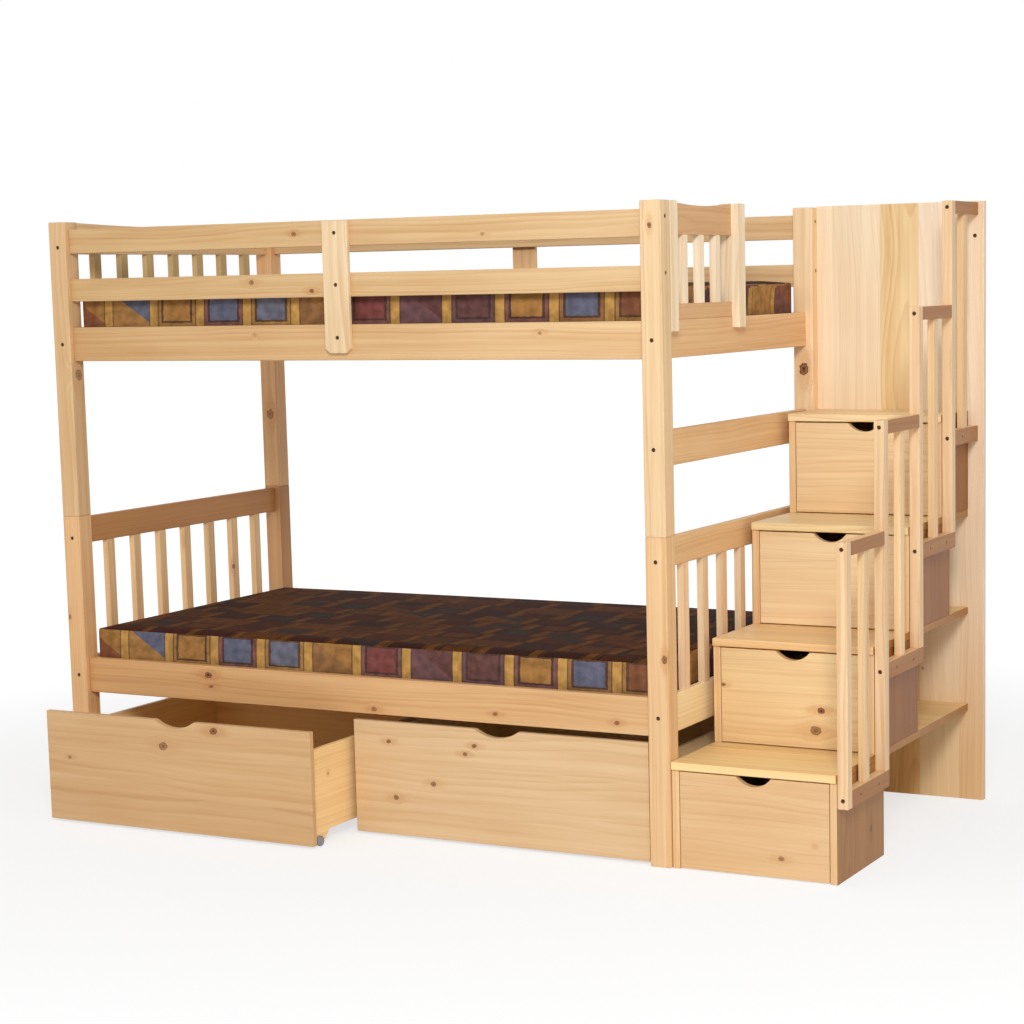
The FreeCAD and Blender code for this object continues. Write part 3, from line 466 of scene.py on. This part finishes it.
def pineMaterial(name, look):
    look = {**boardDefaults, **look}
    grain = look["grain"]
    low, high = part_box(name)
    material, tree, surface = newMaterial("pine_" + name)
    place = splitXYZ(tree, addNode(tree, "ShaderNodeTexCoord").outputs["Object"])
    turned = permute(tree, place, grain)
    if "turn" in look:  # the boards behind the front have their own grain
        first, last, otherGrain = look["turn"]
        between = times(tree, above(tree, place[1], first), math1(tree, "LESS_THAN", place[1], last))
        feeds = {0: between, 4: turned, 5: permute(tree, place, otherGrain)}
        turned = addNode(tree, "ShaderNodeMix", feeds, data_type="VECTOR").outputs[1]
    contrast = look["contrast"]
    if "strips" in look:
        shades, contrast, slide = stripShades(tree, place[0], low[0], high[0], look["strips"])
        turned = plus3(tree, turned, slide)
    grown = {"Point": turned, "Core": 0.0, "Halo": 0.0, "Depth": 0.0}
    for spot, radius, dark in knotPlaces.get(name, []):
        here = {"Centre": reorder(spot, grain), "Radius": radius, "Dark": dark}
        knot = addGroup(tree, knotGroup, {**grown, **here})
        grown = {label: knot[label] for label in grown}
    start, cell = boardCells(look, low, high)
    shade = boardToneAndPaintedLight.get(name, (1, 1, 1))
    wood = addGroup(tree, pineGroup, {
        **grown,
        "Start": start,
        "Cell": cell,
        "Pith": (0, *look["pith"]),
        "Spacing": look["spacing"],
        "Wander": look["wander"],
        "Contrast": contrast,
        "Spread": look["spread"],
        "Pale": tinted(pineLook["pale"], shade),
        "Deep": tinted(pineLook["deep"], shade),
    })
    colour = wood["Color"]
    if "strips" in look:
        colour = mixColour(tree, 1.0, colour, shades, "MULTIPLY")
    tree.links.new(paintedLightTones(tree, colour, look, place, low, high), surface["Base Color"])
    tree.links.new(wood["Roughness"], surface["Roughness"])
    addBump(tree, surface, wood["Height"], pineLook["bumpStrength"], pineLook["bumpDistance"])
    surface["Specular IOR Level"].default_value = pineLook["specular"]
    surface["Coat Weight"].default_value = pineLook["coat"]
    surface["Coat Roughness"].default_value = pineLook["coatRoughness"]
    return material


# colour of each board against plain pine: partly its own tone, as no two are alike, and partly painted light
# and shade, darker where less light reaches and lighter where the shade is deep
boardToneAndPaintedLight = {
    "upper_front_right_post": (1.0, 1.08, 1.2),
    "lower_front_right_post": (0.93, 0.93, 0.94),
    "upper_back_right_post": (1.14, 1.25, 1.45),
    "upper_front_left_post": (0.86, 0.85, 0.84),
    "lower_front_left_post": (0.95, 0.86, 0.79),
    # painted shade: the boards at the back left and the left end are darkened where less light reaches
    "upper_back_left_post": (0.98, 0.87, 0.79),
    "lower_back_left_post": (0.74, 0.63, 0.56),
    "upper_left_slats": (0.75, 0.78, 0.65),
    "lower_right_slats": (1.07, 1.17, 1.40),
    "front_guard_rails": (0.87, 0.86, 0.83),
    "upper_front_rail": (0.83, 0.81, 0.76),
    "lower_front_rail": (0.85, 0.76, 0.67),
    "front_tie_board": (0.95, 1.08, 1.3),
    "left_floor_drawer": (0.78, 0.73, 0.68),
    "right_floor_drawer": (0.87, 0.89, 0.94),
    "stair_drawer_1": (0.91, 0.89, 0.88),
    "stair_drawer_2": (1.0, 1.08, 1.1),
    "stair_drawer_3": (1.02, 1.14, 1.28),
    "stair_drawer_4": (1.03, 1.12, 1.22),
    "stair_tread_1": (1.06, 1.13, 1.02),
    "stair_tread_2": (1.06, 1.10, 1.06),
    "stair_tread_3": (1.06, 1.23, 1.28),
    "stair_tread_4": (1.09, 1.25, 1.38),
    "stair_back_panel": (1.08, 1.30, 1.75),
    # painted shade: the head rail inside the lower bunk is darkened
    "lower_left_head_rail": (0.63, 0.44, 0.265),
    "stair_guard_slats": (1.13, 1.42, 1.98),
    "stair_guard_stiles": (1.11, 1.39, 1.9),
    "stair_guard_rails": (0.86, 0.77, 0.72),
    "upper_right_rail": (0.95, 0.91, 0.88),
    # painted light: the foot rail in the shade by the stairs is lightened
    "lower_right_foot_rail": (1.14, 1.38, 1.56),
    "railing_slats": (1.0, 1.06, 1.12),
    "railing_posts": (1.0, 1.06, 1.2),
}

# knots that stand out: place, radius and darkness
knotPlaces = {
    "upper_front_right_post": [((0.7205, -0.455, 1.713), 0.006, 0.9)],
    "lower_front_right_post": [((0.7435, -0.455, 0.568), 0.008, 0.9)],
    "upper_back_right_post": [((0.7245, 0.597, 1.295), 0.015, 1.0)],
    "lower_front_left_post": [((-1.2685, -0.455, 0.586), 0.006, 0.7)],
    "upper_front_left_post": [((-1.2145, -0.422, 1.322), 0.014, 0.7)],
    "upper_back_left_post": [((-1.2425, 0.597, 1.143), 0.014, 0.7)],
    "lower_front_rail": [
        ((-0.7685, -0.44, 0.434), 0.010, 1.0),
        ((-0.7585, -0.44, 0.402), 0.007, 0.8),
        ((-0.1875, -0.44, 0.37), 0.007, 0.7),
        ((0.2115, -0.44, 0.383), 0.006, 0.8),
        ((0.5905, -0.44, 0.384), 0.006, 0.9),
    ],
    "upper_front_rail": [((0.3815, -0.44, 1.436), 0.005, 0.6)],
    "front_guard_rails": [
        ((-0.4035, -0.44, 1.721), 0.006, 0.8),
        ((0.2115, -0.44, 1.704), 0.005, 0.5),
        ((-0.5565, -0.44, 1.587), 0.007, 0.6),
        ((-0.3495, -0.44, 1.56), 0.006, 0.9),
    ],
    "lower_right_slats": [((0.7315, -0.262, 0.488), 0.007, 1.0), ((0.7315, -0.326, 0.752), 0.005, 0.7)],
    "lower_left_slats": [
        ((-1.2345, -0.312, 0.771), 0.008, 0.9),
        ((-1.2345, 0.074, 0.762), 0.008, 0.8),
        ((-1.2345, 0.344, 0.648), 0.007, 0.7),
    ],
    "stair_drawer_1": [((1.0695, -0.447, 0.056), 0.007, 0.7)],
    "stair_drawer_2": [
        ((1.0745, -0.166, 0.402), 0.009, 1.0),
        ((1.0575, -0.166, 0.346), 0.013, 0.6),
        ((0.785, -0.166, 0.457), 0.005, 0.8),
    ],
    "stair_box_1": [((1.2285, -0.20, 0.098), 0.008, 0.8)],
    "stair_back_panel": [((0.9695, 0.635, 1.23), 0.010, 0.9), ((1.262, 0.635, 0.543), 0.008, 0.8)],
    "left_floor_drawer": [
        ((-0.5955, -0.655, 0.316), 0.010, 1.0),
        ((-0.7775, -0.655, 0.259), 0.012, 0.45),
        ((-1.1255, -0.655, 0.2), 0.005, 0.7),
        ((-0.2785, -0.556, 0.227), 0.006, 1.0),  # on its side board
    ],
    "right_floor_drawer": [
        ((-0.1415, -0.44, 0.28), 0.006, 0.9),
        ((0.1105, -0.44, 0.262), 0.006, 0.8),
        ((0.1405, -0.44, 0.287), 0.006, 0.9),
        ((0.0045, -0.44, 0.167), 0.008, 0.5),
        ((-0.1225, -0.44, 0.117), 0.007, 0.8),
    ],
}

# how each board is sawn and toned; cells are its first edge and its width on an axis
boardLooks = {}
rows = {"endSlats": (7, 0.032), "guardSlats": (3, 0.028), "baseSlats": (14, 0.070)}  # count and width


def rowCells(name, axis, count, thick):  # evenly spaced pieces: each has a cell of its own round it
    low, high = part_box(name)
    number = "xyz".index(axis)
    step = (high[number] - low[number] - thick) / (count - 1)
    return {axis: (low[number] + thick / 2 - step / 2, step)}


def dress(name, grain, **look):
    boardLooks[name] = {"grain": grain, **look}


# bed frame
for side in ("left", "right"):
    for face in ("front", "back"):
        dress("lower_%s_%s_post" % (face, side), "z", pith=(0.09, 0.05), wander=0.03)
        dress("upper_%s_%s_post" % (face, side), "z", pith=(-0.06, 0.10), wander=0.03)
# painted shade on the post's face towards +X
boardLooks["lower_back_left_post"]["outer"] = (0.80, 0.70, 0.55)
for face in ("front", "back"):
    dress("lower_%s_rail" % face, "x", pith=(0.06, 0.08))
    dress("upper_%s_rail" % face, "x", pith=(0.05, 0.10), wander=0.04)
    dress("%s_guard_rails" % face, "x", pith=(0.05, 0.07), cells={"z": (1.50, 0.145)})
    dress("%s_tie_board" % face, "z", pith=(0.04, 0.08))
# painted light falloff along the front rails: darker at the left end, lighter at the right
boardLooks["upper_front_rail"]["ends"] = ((0.88, 0.83, 0.76), (1.06, 1.10, 1.18))
boardLooks["lower_front_rail"]["ends"] = ((0.94, 0.86, 0.75), (0.99, 1.04, 1.10))
boardLooks["front_guard_rails"]["ends"] = ((0.91, 0.90, 0.83), (1.0, 1.03, 1.08))
for side in ("left", "right"):
    dress("lower_%s_foot_rail" % side, "y", pith=(0.06, 0.06))
    dress("lower_%s_head_rail" % side, "y", pith=(0.06, 0.06))
    dress("upper_%s_rail" % side, "y", pith=(0.07, 0.07))
for name in ("lower_left_slats", "lower_right_slats", "upper_left_slats"):
    dress(name, "z", pith=(0.05, 0.05), spread=0.2, cells=rowCells(name, "y", *rows["endSlats"]))
dress("upper_left_crest_rail", "y", pith=(0.06, 0.06))
dress("right_cross_rail", "y", pith=(0.07, 0.06), wander=0.06)
dress("stair_guard_stiles", "z", pith=(0.05, 0.04), cells={"y": (-0.42, 0.24)})
dress("stair_guard_rails", "y", pith=(0.05, 0.06), cells={"z": (1.40, 0.17)})
dress("stair_guard_slats", "z", pith=(0.05, 0.04),
      cells=rowCells("stair_guard_slats", "y", *rows["guardSlats"]))
dress("bed_cleats", "x", cells={"z": (0.0, 0.8)})
for name in ("lower_base_slats", "upper_base_slats"):
    dress(name, "y", pith=(0.05, 0.06), spread=0.25, cells=rowCells(name, "x", *rows["baseSlats"]))
dress("post_dowels", "z")
print("bed frame's boards chosen")

# stairs
stairWood = {
    # painted shade on faces towards +X: treads and railing rails (on the treads also their darker end
    # grain), and each step box
    "outerBrown": (0.46, 0.285, 0.125),
    "boxShadedSide": [(0.46, 0.315, 0.15), (0.34, 0.185, 0.06), (0.355, 0.20, 0.09), (0.355, 0.20, 0.09)],
    "boxSide": 0.021,  # thickness of a step box's side
    "boxInside": 0.431,  # width between its sides
    "boxBoard": 0.118,
    "boxShift": 0.03,  # how far the first glued joint lies from the edge
    "treadBoard": 0.13,
    "treadShift": 0.02,
    "drawerBoard": 0.125,
    "drawerShift": 0.02,
    "drawerFront": 0.0205,  # thickness, with half a millimetre of slack
    "drawerBack": 0.0125,
    # strips of the back panel: left edge, shade, contrast
    "strips": [
        (0.70, (1.0, 1.0, 1.0), 0.5),
        (0.8015, (0.95, 0.95, 0.94), 0.55),
        (0.9555, (0.90, 0.84, 0.66), 1.0),
        (1.0745, (0.94, 0.97, 1.03), 0.45),
        (1.20, (0.92, 0.88, 0.88), 0.6),
    ],
    "panelShadeFoot": (0.75, (0.88, 0.74, 0.54)),  # painted shade low behind the shelves: height where it starts, and tone at the floor
}
for number in (1, 2, 3, 4):
    wood = stairWood
    box, tread, drawer = ("stair_%s_%d" % (kind, number) for kind in ("box", "tread", "drawer"))
    low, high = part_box(box)
    dress(box, "z", pith=(0.10, 0.05), outer=wood["boxShadedSide"][number - 1], cells={
        "x": (low[0] + wood["boxSide"] - wood["boxInside"], wood["boxInside"]),
        "y": (low[1] - wood["boxShift"], wood["boxBoard"])})
    low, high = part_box(tread)
    dress(tread, "x", pith=(0.09, 0.06), outer=wood["outerBrown"],
          cells={"y": (low[1] - wood["treadShift"], wood["treadBoard"])})
    low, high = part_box(drawer)
    dress(drawer, "x", pith=(0.05, 0.14), wander=0.04, spread=0.04, spacing=0.008, contrast=0.62,
          cells={"z": (low[2] - wood["drawerShift"] * number, wood["drawerBoard"])},
          turn=(low[1] + wood["drawerFront"], high[1] - wood["drawerBack"], "y"))
dress("stair_back_panel", "z", pith=(0.05, 0.10), wander=0.09, strips=stairWood["strips"],
      foot=stairWood["panelShadeFoot"])
dress("shelf_side_panels", "z", pith=(0.08, 0.05))
dress("railing_posts", "z", pith=(0.05, 0.05), cells={"y": (-0.57, 0.281)})
dress("railing_rails", "y", pith=(0.05, 0.05), cells={"z": (0.0, 0.149)}, outer=stairWood["outerBrown"])
dress("railing_slats", "z", pith=(0.05, 0.05), cells={"y": (-0.44, 0.281)})
print("stairs' boards chosen")

# drawers under the bed
floorDrawerWood = {
    "board": 0.112,
    "shift": 0.01,
    "front": 0.0185,  # thickness, with half a millimetre of slack
    "back": 0.0155,
    "behind": (1.44, 1.6, 1.6),  # painted light: the other boards, in the shade under the bed, are lightened against the front
}
for name in ("left_floor_drawer", "right_floor_drawer"):
    wood = floorDrawerWood
    low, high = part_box(name)
    dress(name, "x", pith=(0.06, 0.16), wander=0.03, spread=0.05, spacing=0.007, contrast=0.62,
          cells={"z": (low[2] - wood["shift"], wood["board"])},
          turn=(low[1] + wood["front"], high[1] - wood["back"], "y"), behind=wood["behind"])

for name, look in boardLooks.items():
    paint(name, pineMaterial(name, look))
print("pine on", len(boardLooks), "pieces")

# dark zinc and grey plastic
plainLooks = {
    "dark_zinc": {"scale": 260.0, "dark": (52, 36, 20), "light": (104, 78, 46),
                  "roughness": (0.4, 0.6), "metallic": 0.5},
    "grey_plastic": {"scale": 180.0, "dark": (126, 126, 128), "light": (146, 146, 148),
                     "roughness": (0.42, 0.6), "metallic": 0.0},
}


def plainMaterial(name):
    look = plainLooks[name]
    material, tree, surface = newMaterial(name)
    point = addNode(tree, "ShaderNodeTexCoord").outputs["Object"]
    cloud = noiseAt(tree, point, look["scale"], 4.0)[0]
    tree.links.new(mixColour(tree, cloud, srgb(*look["dark"]), srgb(*look["light"])), surface["Base Color"])
    tree.links.new(fade(tree, cloud, 0.2, 0.8, *look["roughness"]), surface["Roughness"])
    addBump(tree, surface, cloud, 0.2, 0.0002)
    surface["Metallic"].default_value = look["metallic"]
    return material


zinc = plainMaterial("dark_zinc")
greyPlastic = plainMaterial("grey_plastic")
for name in parts:
    if name not in boardLooks and "mattress" not in name:
        paint(name, zinc if "bolts" in name else greyPlastic)
print("metal and plastic done")

# the two mattresses, in a patchwork print
patchwork = {
    "patchSize": (0.168, 0.104, 1),
    "border": 0.03,  # share of a patch that its dark border takes
    "grounds": [(146, 102, 56), (112, 72, 62), (131, 89, 54), (98, 66, 64), (154, 109, 61), (122, 74, 48)],
    "blocks": [(90, 87, 99), (112, 60, 54), (146, 100, 52), (96, 92, 100), (118, 72, 48), (92, 58, 52)],
    "sash": (170, 124, 64),
    "borderColour": (64, 46, 38),
    "topPaintedShade": (0.29, 0.20, 0.115),  # painted shade: the top, under the upper bunk, is much darker
    "sideShade": (1.05, 1.15, 1.25),
    "ragged": 0.05,
    "blockNarrow": 1.15,  # how much narrower than tall a block is, in shares of its patch
    "blockReach": 0.33,
    "blockEdge": 0.385,
    "blockEdgeDark": 0.85,
    "blocksAbove": 0.42,  # a patch has a block when its chance is above this
    "slantsBelow": 0.24,  # and a slanting half when it is below this
    "slantShift": 0.04,
    "sashStarts": 0.405,
    "sashLine": 0.012,
    "borderDark": 0.7,
    "fading": (0.25, 0.75, 0.78, 1.38),
    "seamX": (0.47, 0.5),
    "seamY": (0.46, 0.5),
    "weaveScale": 700.0,
    "weaveHeight": 0.4,
    "roughness": (0.2, 0.8, 0.82, 0.95),
    "bumpStrength": 0.5,
    "bumpDistance": 0.0008,
    "specular": 0.12,
}
mattressForm = {
    "shrink": 0.001,  # starts this much inside the CAD form
    "cornerRadius": 0.010,
    "rimRadius": 0.006,
    "grid": 0.022,
    "held": 0.007,  # the cover is sewn to its shape this near an edge
    "cap": 0.007,  # how far the faces may swell
    "pressure": 4.0,
    "mass": 0.4,
    "quality": 4,
    "frames": 20,
    "rowsStart": 0.052,  # the first row of patches starts this high, near the rail's top
    "topStarts": 0.092,  # height on the cover's map where the side ends
    "backShift": 0.7,  # how far the print is moved along the back, in metres
    "endShift": 3.0,
}


def colourSteps(tree, source, colours):
    steps = [(number / len(colours), srgb(*colour)) for number, colour in enumerate(colours)]
    return colourRamp(tree, source, steps, "CONSTANT")[0]


def makePatchworkGroup():
    look = patchwork
    tree, given, out = newGroup("patchwork", {"Point": "vector", "Size": "vector", "Border": "value"},
                                {"Color": "colour", "Seam": "value"})
    spot = splitXYZ(tree, math3(tree, "DIVIDE", given["Point"], given["Size"]))
    row = math1(tree, "FLOOR", spot[1])
    rowChance = addNode(tree, "ShaderNodeTexWhiteNoise", {"W": row}, noise_dimensions="1D").outputs["Value"]
    along = plus(tree, spot[0], rowChance)
    cell = addNode(tree, "ShaderNodeCombineXYZ", {0: math1(tree, "FLOOR", along), 1: row}).outputs[0]
    dice = addNode(tree, "ShaderNodeSeparateColor", {0: chanceAt(tree, cell)["Color"]}).outputs
    offX = minus(tree, math1(tree, "FRACT", along), 0.5)
    offY = minus(tree, math1(tree, "FRACT", spot[1]), 0.5)
    farX, farY = math1(tree, "ABSOLUTE", offX), math1(tree, "ABSOLUTE", offY)
    worn = noiseAt(tree, given["Point"], 60.0, 3.0)[0]
    ragged = times(tree, minus(tree, worn, 0.5), look["ragged"])
    ground = colourSteps(tree, dice[0], look["grounds"])
    block = colourSteps(tree, dice[2], look["blocks"])
    dark = srgb(*look["borderColour"])
    # a block with a dark edge in most patches, a slanting half in the rest
    reach = plus(tree, larger(tree, times(tree, farX, look["blockNarrow"]), farY), ragged)
    hasBlock = above(tree, dice[1], look["blocksAbove"])
    inBlock = times(tree, math1(tree, "LESS_THAN", reach, look["blockReach"]), hasBlock)
    blockEdge = times(tree, math1(tree, "LESS_THAN", reach, look["blockEdge"]), hasBlock)
    slant = above(tree, plus(tree, plus(tree, offX, offY), ragged), look["slantShift"])
    slant = times(tree, slant, math1(tree, "LESS_THAN", dice[1], look["slantsBelow"]))
    colour = mixColour(tree, times(tree, blockEdge, look["blockEdgeDark"]), ground, dark)
    colour = mixColour(tree, larger(tree, inBlock, slant), colour, block)
    # gold sashes between the patches, with a dark line along each
    colour = mixColour(tree, above(tree, farX, look["sashStarts"]), colour, srgb(*look["sash"]))
    line = math1(tree, "COMPARE", farX, look["sashStarts"], look["sashLine"])
    border = larger(tree, line, above(tree, farY, minus(tree, 0.5, given["Border"])))
    colour = mixColour(tree, times(tree, border, look["borderDark"]), colour, dark)
    faded = fade(tree, noiseAt(tree, given["Point"], 34.0, 4.0)[0], *look["fading"])
    tree.links.new(scaled(tree, colour, faded), out["Color"])
    seam = larger(tree, fade(tree, farX, *look["seamX"]), fade(tree, farY, *look["seamY"]))
    tree.links.new(seam, out["Seam"])
    return tree


def fabricMaterial():
    look = patchwork
    material, tree, surface = newMaterial("patchwork_cotton")
    place = addNode(tree, "ShaderNodeUVMap", uv_map="cover").outputs[0]
    printed = addGroup(tree, makePatchworkGroup(), {
        "Point": place, "Size": look["patchSize"], "Border": look["border"]})
    weave = noiseAt(tree, place, look["weaveScale"], 2.0, (1.0, 1.0, 0.0))[0]
    # painted shade on the cover's top
    shadedTopMask = above(tree, splitXYZ(tree, place)[1], mattressForm["topStarts"])
    side, top = (mixColour(tree, 1.0, printed["Color"], (*look[shade], 1), "MULTIPLY")
                 for shade in ("sideShade", "topPaintedShade"))
    tree.links.new(mixColour(tree, shadedTopMask, side, top), surface["Base Color"])
    tree.links.new(fade(tree, weave, *look["roughness"]), surface["Roughness"])
    height = minus(tree, times(tree, weave, look["weaveHeight"]), printed["Seam"])
    addBump(tree, surface, height, look["bumpStrength"], look["bumpDistance"])
    surface["Specular IOR Level"].default_value = look["specular"]
    return material


def bevelled(mesh, edges, radius, segments):
    bmesh.ops.bevel(mesh, geom=edges, offset=radius, segments=segments, profile=0.5,
                    affect="EDGES", material=-1)


def mattressBody(low, high):
    form = mattressForm
    size = (high - low) - Vector((1, 1, 1)) * form["shrink"] * 2
    mesh = bmesh.new()
    bmesh.ops.create_cube(mesh, size=1)
    bmesh.ops.scale(mesh, vec=size, verts=mesh.verts)
    upright = [e for e in mesh.edges if abs(e.verts[0].co.z - e.verts[1].co.z) > 0.01]
    bevelled(mesh, upright, form["cornerRadius"], 3)
    rims = [e for e in mesh.edges if abs(e.verts[0].co.z - e.verts[1].co.z) < 1e-6 and len(e.link_faces) == 2
            and abs(e.link_faces[0].normal.z - e.link_faces[1].normal.z) > 0.5]
    bevelled(mesh, rims, form["rimRadius"], 2)
    grid = form["grid"] * 1
    for axis in range(3):  # an even grid for the cloth
        count = max(round(size[axis] / grid), 2)
        for number in range(1, count):
            cut = Vector((0, 0, 0))
            cut[axis] = size[axis] * (number / count - 0.5)
            facing = Vector([1 if spot == axis else 0 for spot in range(3)])
            everything = mesh.verts[:] + mesh.edges[:] + mesh.faces[:]
            bmesh.ops.bisect_plane(mesh, geom=everything, dist=1e-5, plane_co=cut, plane_no=facing)
    bmesh.ops.translate(mesh, vec=(low + high) / 2, verts=mesh.verts)
    return mesh


def applyModifiers(piece):
    shaped = bpy.data.meshes.new_from_object(piece.evaluated_get(bpy.context.evaluated_depsgraph_get()))
    piece.modifiers.clear()
    piece.data = shaped


def swell(piece, low, high):  # the cover's faces fill out between its sewn edges; the underside stays flat
    form = mattressForm
    start = [v.co.copy() for v in piece.data.vertices]
    held = piece.vertex_groups.new(name="held")
    for vertex in piece.data.vertices:
        inside = sorted(min(vertex.co[axis] - low[axis], high[axis] - vertex.co[axis]) for axis in range(3))
        if inside[1] < form["held"] or vertex.co.z < low.z + form["held"]:
            held.add([vertex.index], 1.0, "REPLACE")
    cloth = piece.modifiers.new("swell", "CLOTH")
    cloth.settings.vertex_group_mass = "held"
    cloth.settings.use_pressure = True
    cloth.settings.uniform_pressure_force = form["pressure"]
    cloth.settings.effector_weights.gravity = 0
    cloth.settings.mass = form["mass"]
    cloth.settings.quality = form["quality"]
    cloth.point_cache.frame_start = 1
    cloth.point_cache.frame_end = form["frames"]
    for number in range(1, form["frames"] + 1):
        bpy.context.scene.frame_set(number)
    applyModifiers(piece)
    for vertex, home in zip(piece.data.vertices, start):
        step = vertex.co - home
        if step.length > form["cap"]:
            vertex.co = home + step.normalized() * form["cap"]
    piece.vertex_groups.clear()
    bpy.context.scene.frame_set(1)


def wrapCover(piece, low, high):  # the print runs up the side and on over the top, in metres
    layer = piece.data.uv_layers.new(name="cover")
    tall = high.z - low.z
    low = Vector((low.x, low.y, low.z + mattressForm["rowsStart"]))
    for face in piece.data.polygons:
        normal = face.normal
        for corner in face.loop_indices:
            spot = piece.data.vertices[piece.data.loops[corner].vertex_index].co
            if normal.z > 0.6:
                place = (spot.x, tall + spot.y - low.y)
            elif normal.z < -0.6:
                place = (spot.x, spot.y - high.y - tall)
            elif abs(normal.y) > abs(normal.x):
                place = (spot.x + (mattressForm["backShift"] if normal.y >= 0 else 0), spot.z - low.z)
            else:
                place = (spot.y + mattressForm["endShift"] * normal.x, spot.z - low.z)
            layer.data[corner].uv = place


fabric = fabricMaterial()
for tier in ("lower", "upper"):
    node = tier + "_mattress"
    low, high = (Vector(corner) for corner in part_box(node))
    body = mattressBody(low, high)
    data = bpy.data.meshes.new(tier + "_cover")
    body.to_mesh(data)
    body.free()
    piece = bpy.data.objects.new(tier + "_patchwork_mattress", data)
    bpy.context.scene.collection.objects.link(piece)
    swell(piece, low, high)
    smooth = piece.modifiers.new("smooth", "SUBSURF")
    smooth.levels = smooth.render_levels = 1
    applyModifiers(piece)
    wrapCover(piece, low, high)
    for face in piece.data.polygons:
        face.use_smooth = True
    piece.data.materials.clear()
    piece.data.materials.append(fabric)
    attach(piece, "frame")
    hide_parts(node)
    print(tier, "mattress has", len(piece.data.polygons), "faces")

# floor, world and lamps
studio = {
    "worldLight": 0.58,
    "floorSize": 60,
    "floorColour": (0.88, 0.88, 0.88, 1),
    "backLight": 1.06,  # strength of the white that the camera sees instead of the far floor
    "floorShare": 0.36,  # how much of the floor's own shading the camera sees near the object
    "floorFades": (1.6, 4.0),  # between these distances from the middle
    "keyPlace": (3.6, -6.2, 4.2),
    "keyAim": (0.1, 0.0, 0.8),
    "keySize": 1.6,
    "keyPower": 300,
    "fillPlace": (-4.5, -3.6, 3.2),
    "fillPower": 12,
}


def makeFloor():
    mesh = bmesh.new()
    bmesh.ops.create_grid(mesh, x_segments=1, y_segments=1, size=studio["floorSize"])
    data = bpy.data.meshes.new("floor")
    mesh.to_mesh(data)
    mesh.free()
    floor = bpy.data.objects.new("floor", data)
    bpy.context.scene.collection.objects.link(floor)
    material = bpy.data.materials.new("pale_floor")
    material.use_nodes = True
    tree = material.node_tree
    tree.nodes.remove(tree.nodes["Principled BSDF"])
    matte = addNode(tree, "ShaderNodeBsdfDiffuse", {"Color": studio["floorColour"]}).outputs[0]
    feeds = {"Color": (1, 1, 1, 1), "Strength": studio["backLight"]}
    white = addNode(tree, "ShaderNodeEmission", feeds).outputs[0]
    path = addNode(tree, "ShaderNodeLightPath").outputs
    seen = math1(tree, "ADD", path["Is Camera Ray"], path["Is Glossy Ray"], clamp=True)
    distance = math3(tree, "LENGTH", addNode(tree, "ShaderNodeTexCoord").outputs["Object"])
    away = fade(tree, distance, *studio["floorFades"], 1 - studio["floorShare"], 1.0)
    mixed = addNode(tree, "ShaderNodeMixShader", {0: times(tree, seen, away), 1: matte, 2: white})
    tree.links.new(mixed.outputs[0], tree.nodes["Material Output"].inputs["Surface"])
    data.materials.append(material)


def makeWorld():
    world = bpy.data.worlds.new("studio")
    bpy.context.scene.world = world
    world.use_nodes = True
    tree = world.node_tree
    path = addNode(tree, "ShaderNodeLightPath").outputs
    seen = larger(tree, path["Is Glossy Ray"], path["Is Transmission Ray"])
    seen = larger(tree, path["Is Camera Ray"], seen)
    feeds = {0: seen, 1: 0.0, 2: 1.0, 3: studio["worldLight"], 4: 1.0}
    strength = addNode(tree, "ShaderNodeMapRange", feeds).outputs[0]
    back = tree.nodes["Background"]
    back.inputs["Color"].default_value = (1, 1, 1, 1)
    tree.links.new(strength, back.inputs["Strength"])


def areaLamp(name, place, aim, size, power):
    data = bpy.data.lights.new(name, "AREA")
    data.shape = "SQUARE"
    data.size = size
    data.energy = power
    lamp = bpy.data.objects.new(name, data)
    bpy.context.scene.collection.objects.link(lamp)
    turn = (Vector(aim) - Vector(place)).to_track_quat("-Z", "Y")
    lamp.matrix_world = Matrix.Translation(place) @ turn.to_matrix().to_4x4()


makeFloor()
makeWorld()
areaLamp("key", studio["keyPlace"], studio["keyAim"], studio["keySize"], studio["keyPower"])
areaLamp("fill", studio["fillPlace"], studio["keyAim"], studio["keySize"], studio["fillPower"])
print("floor and lights set")
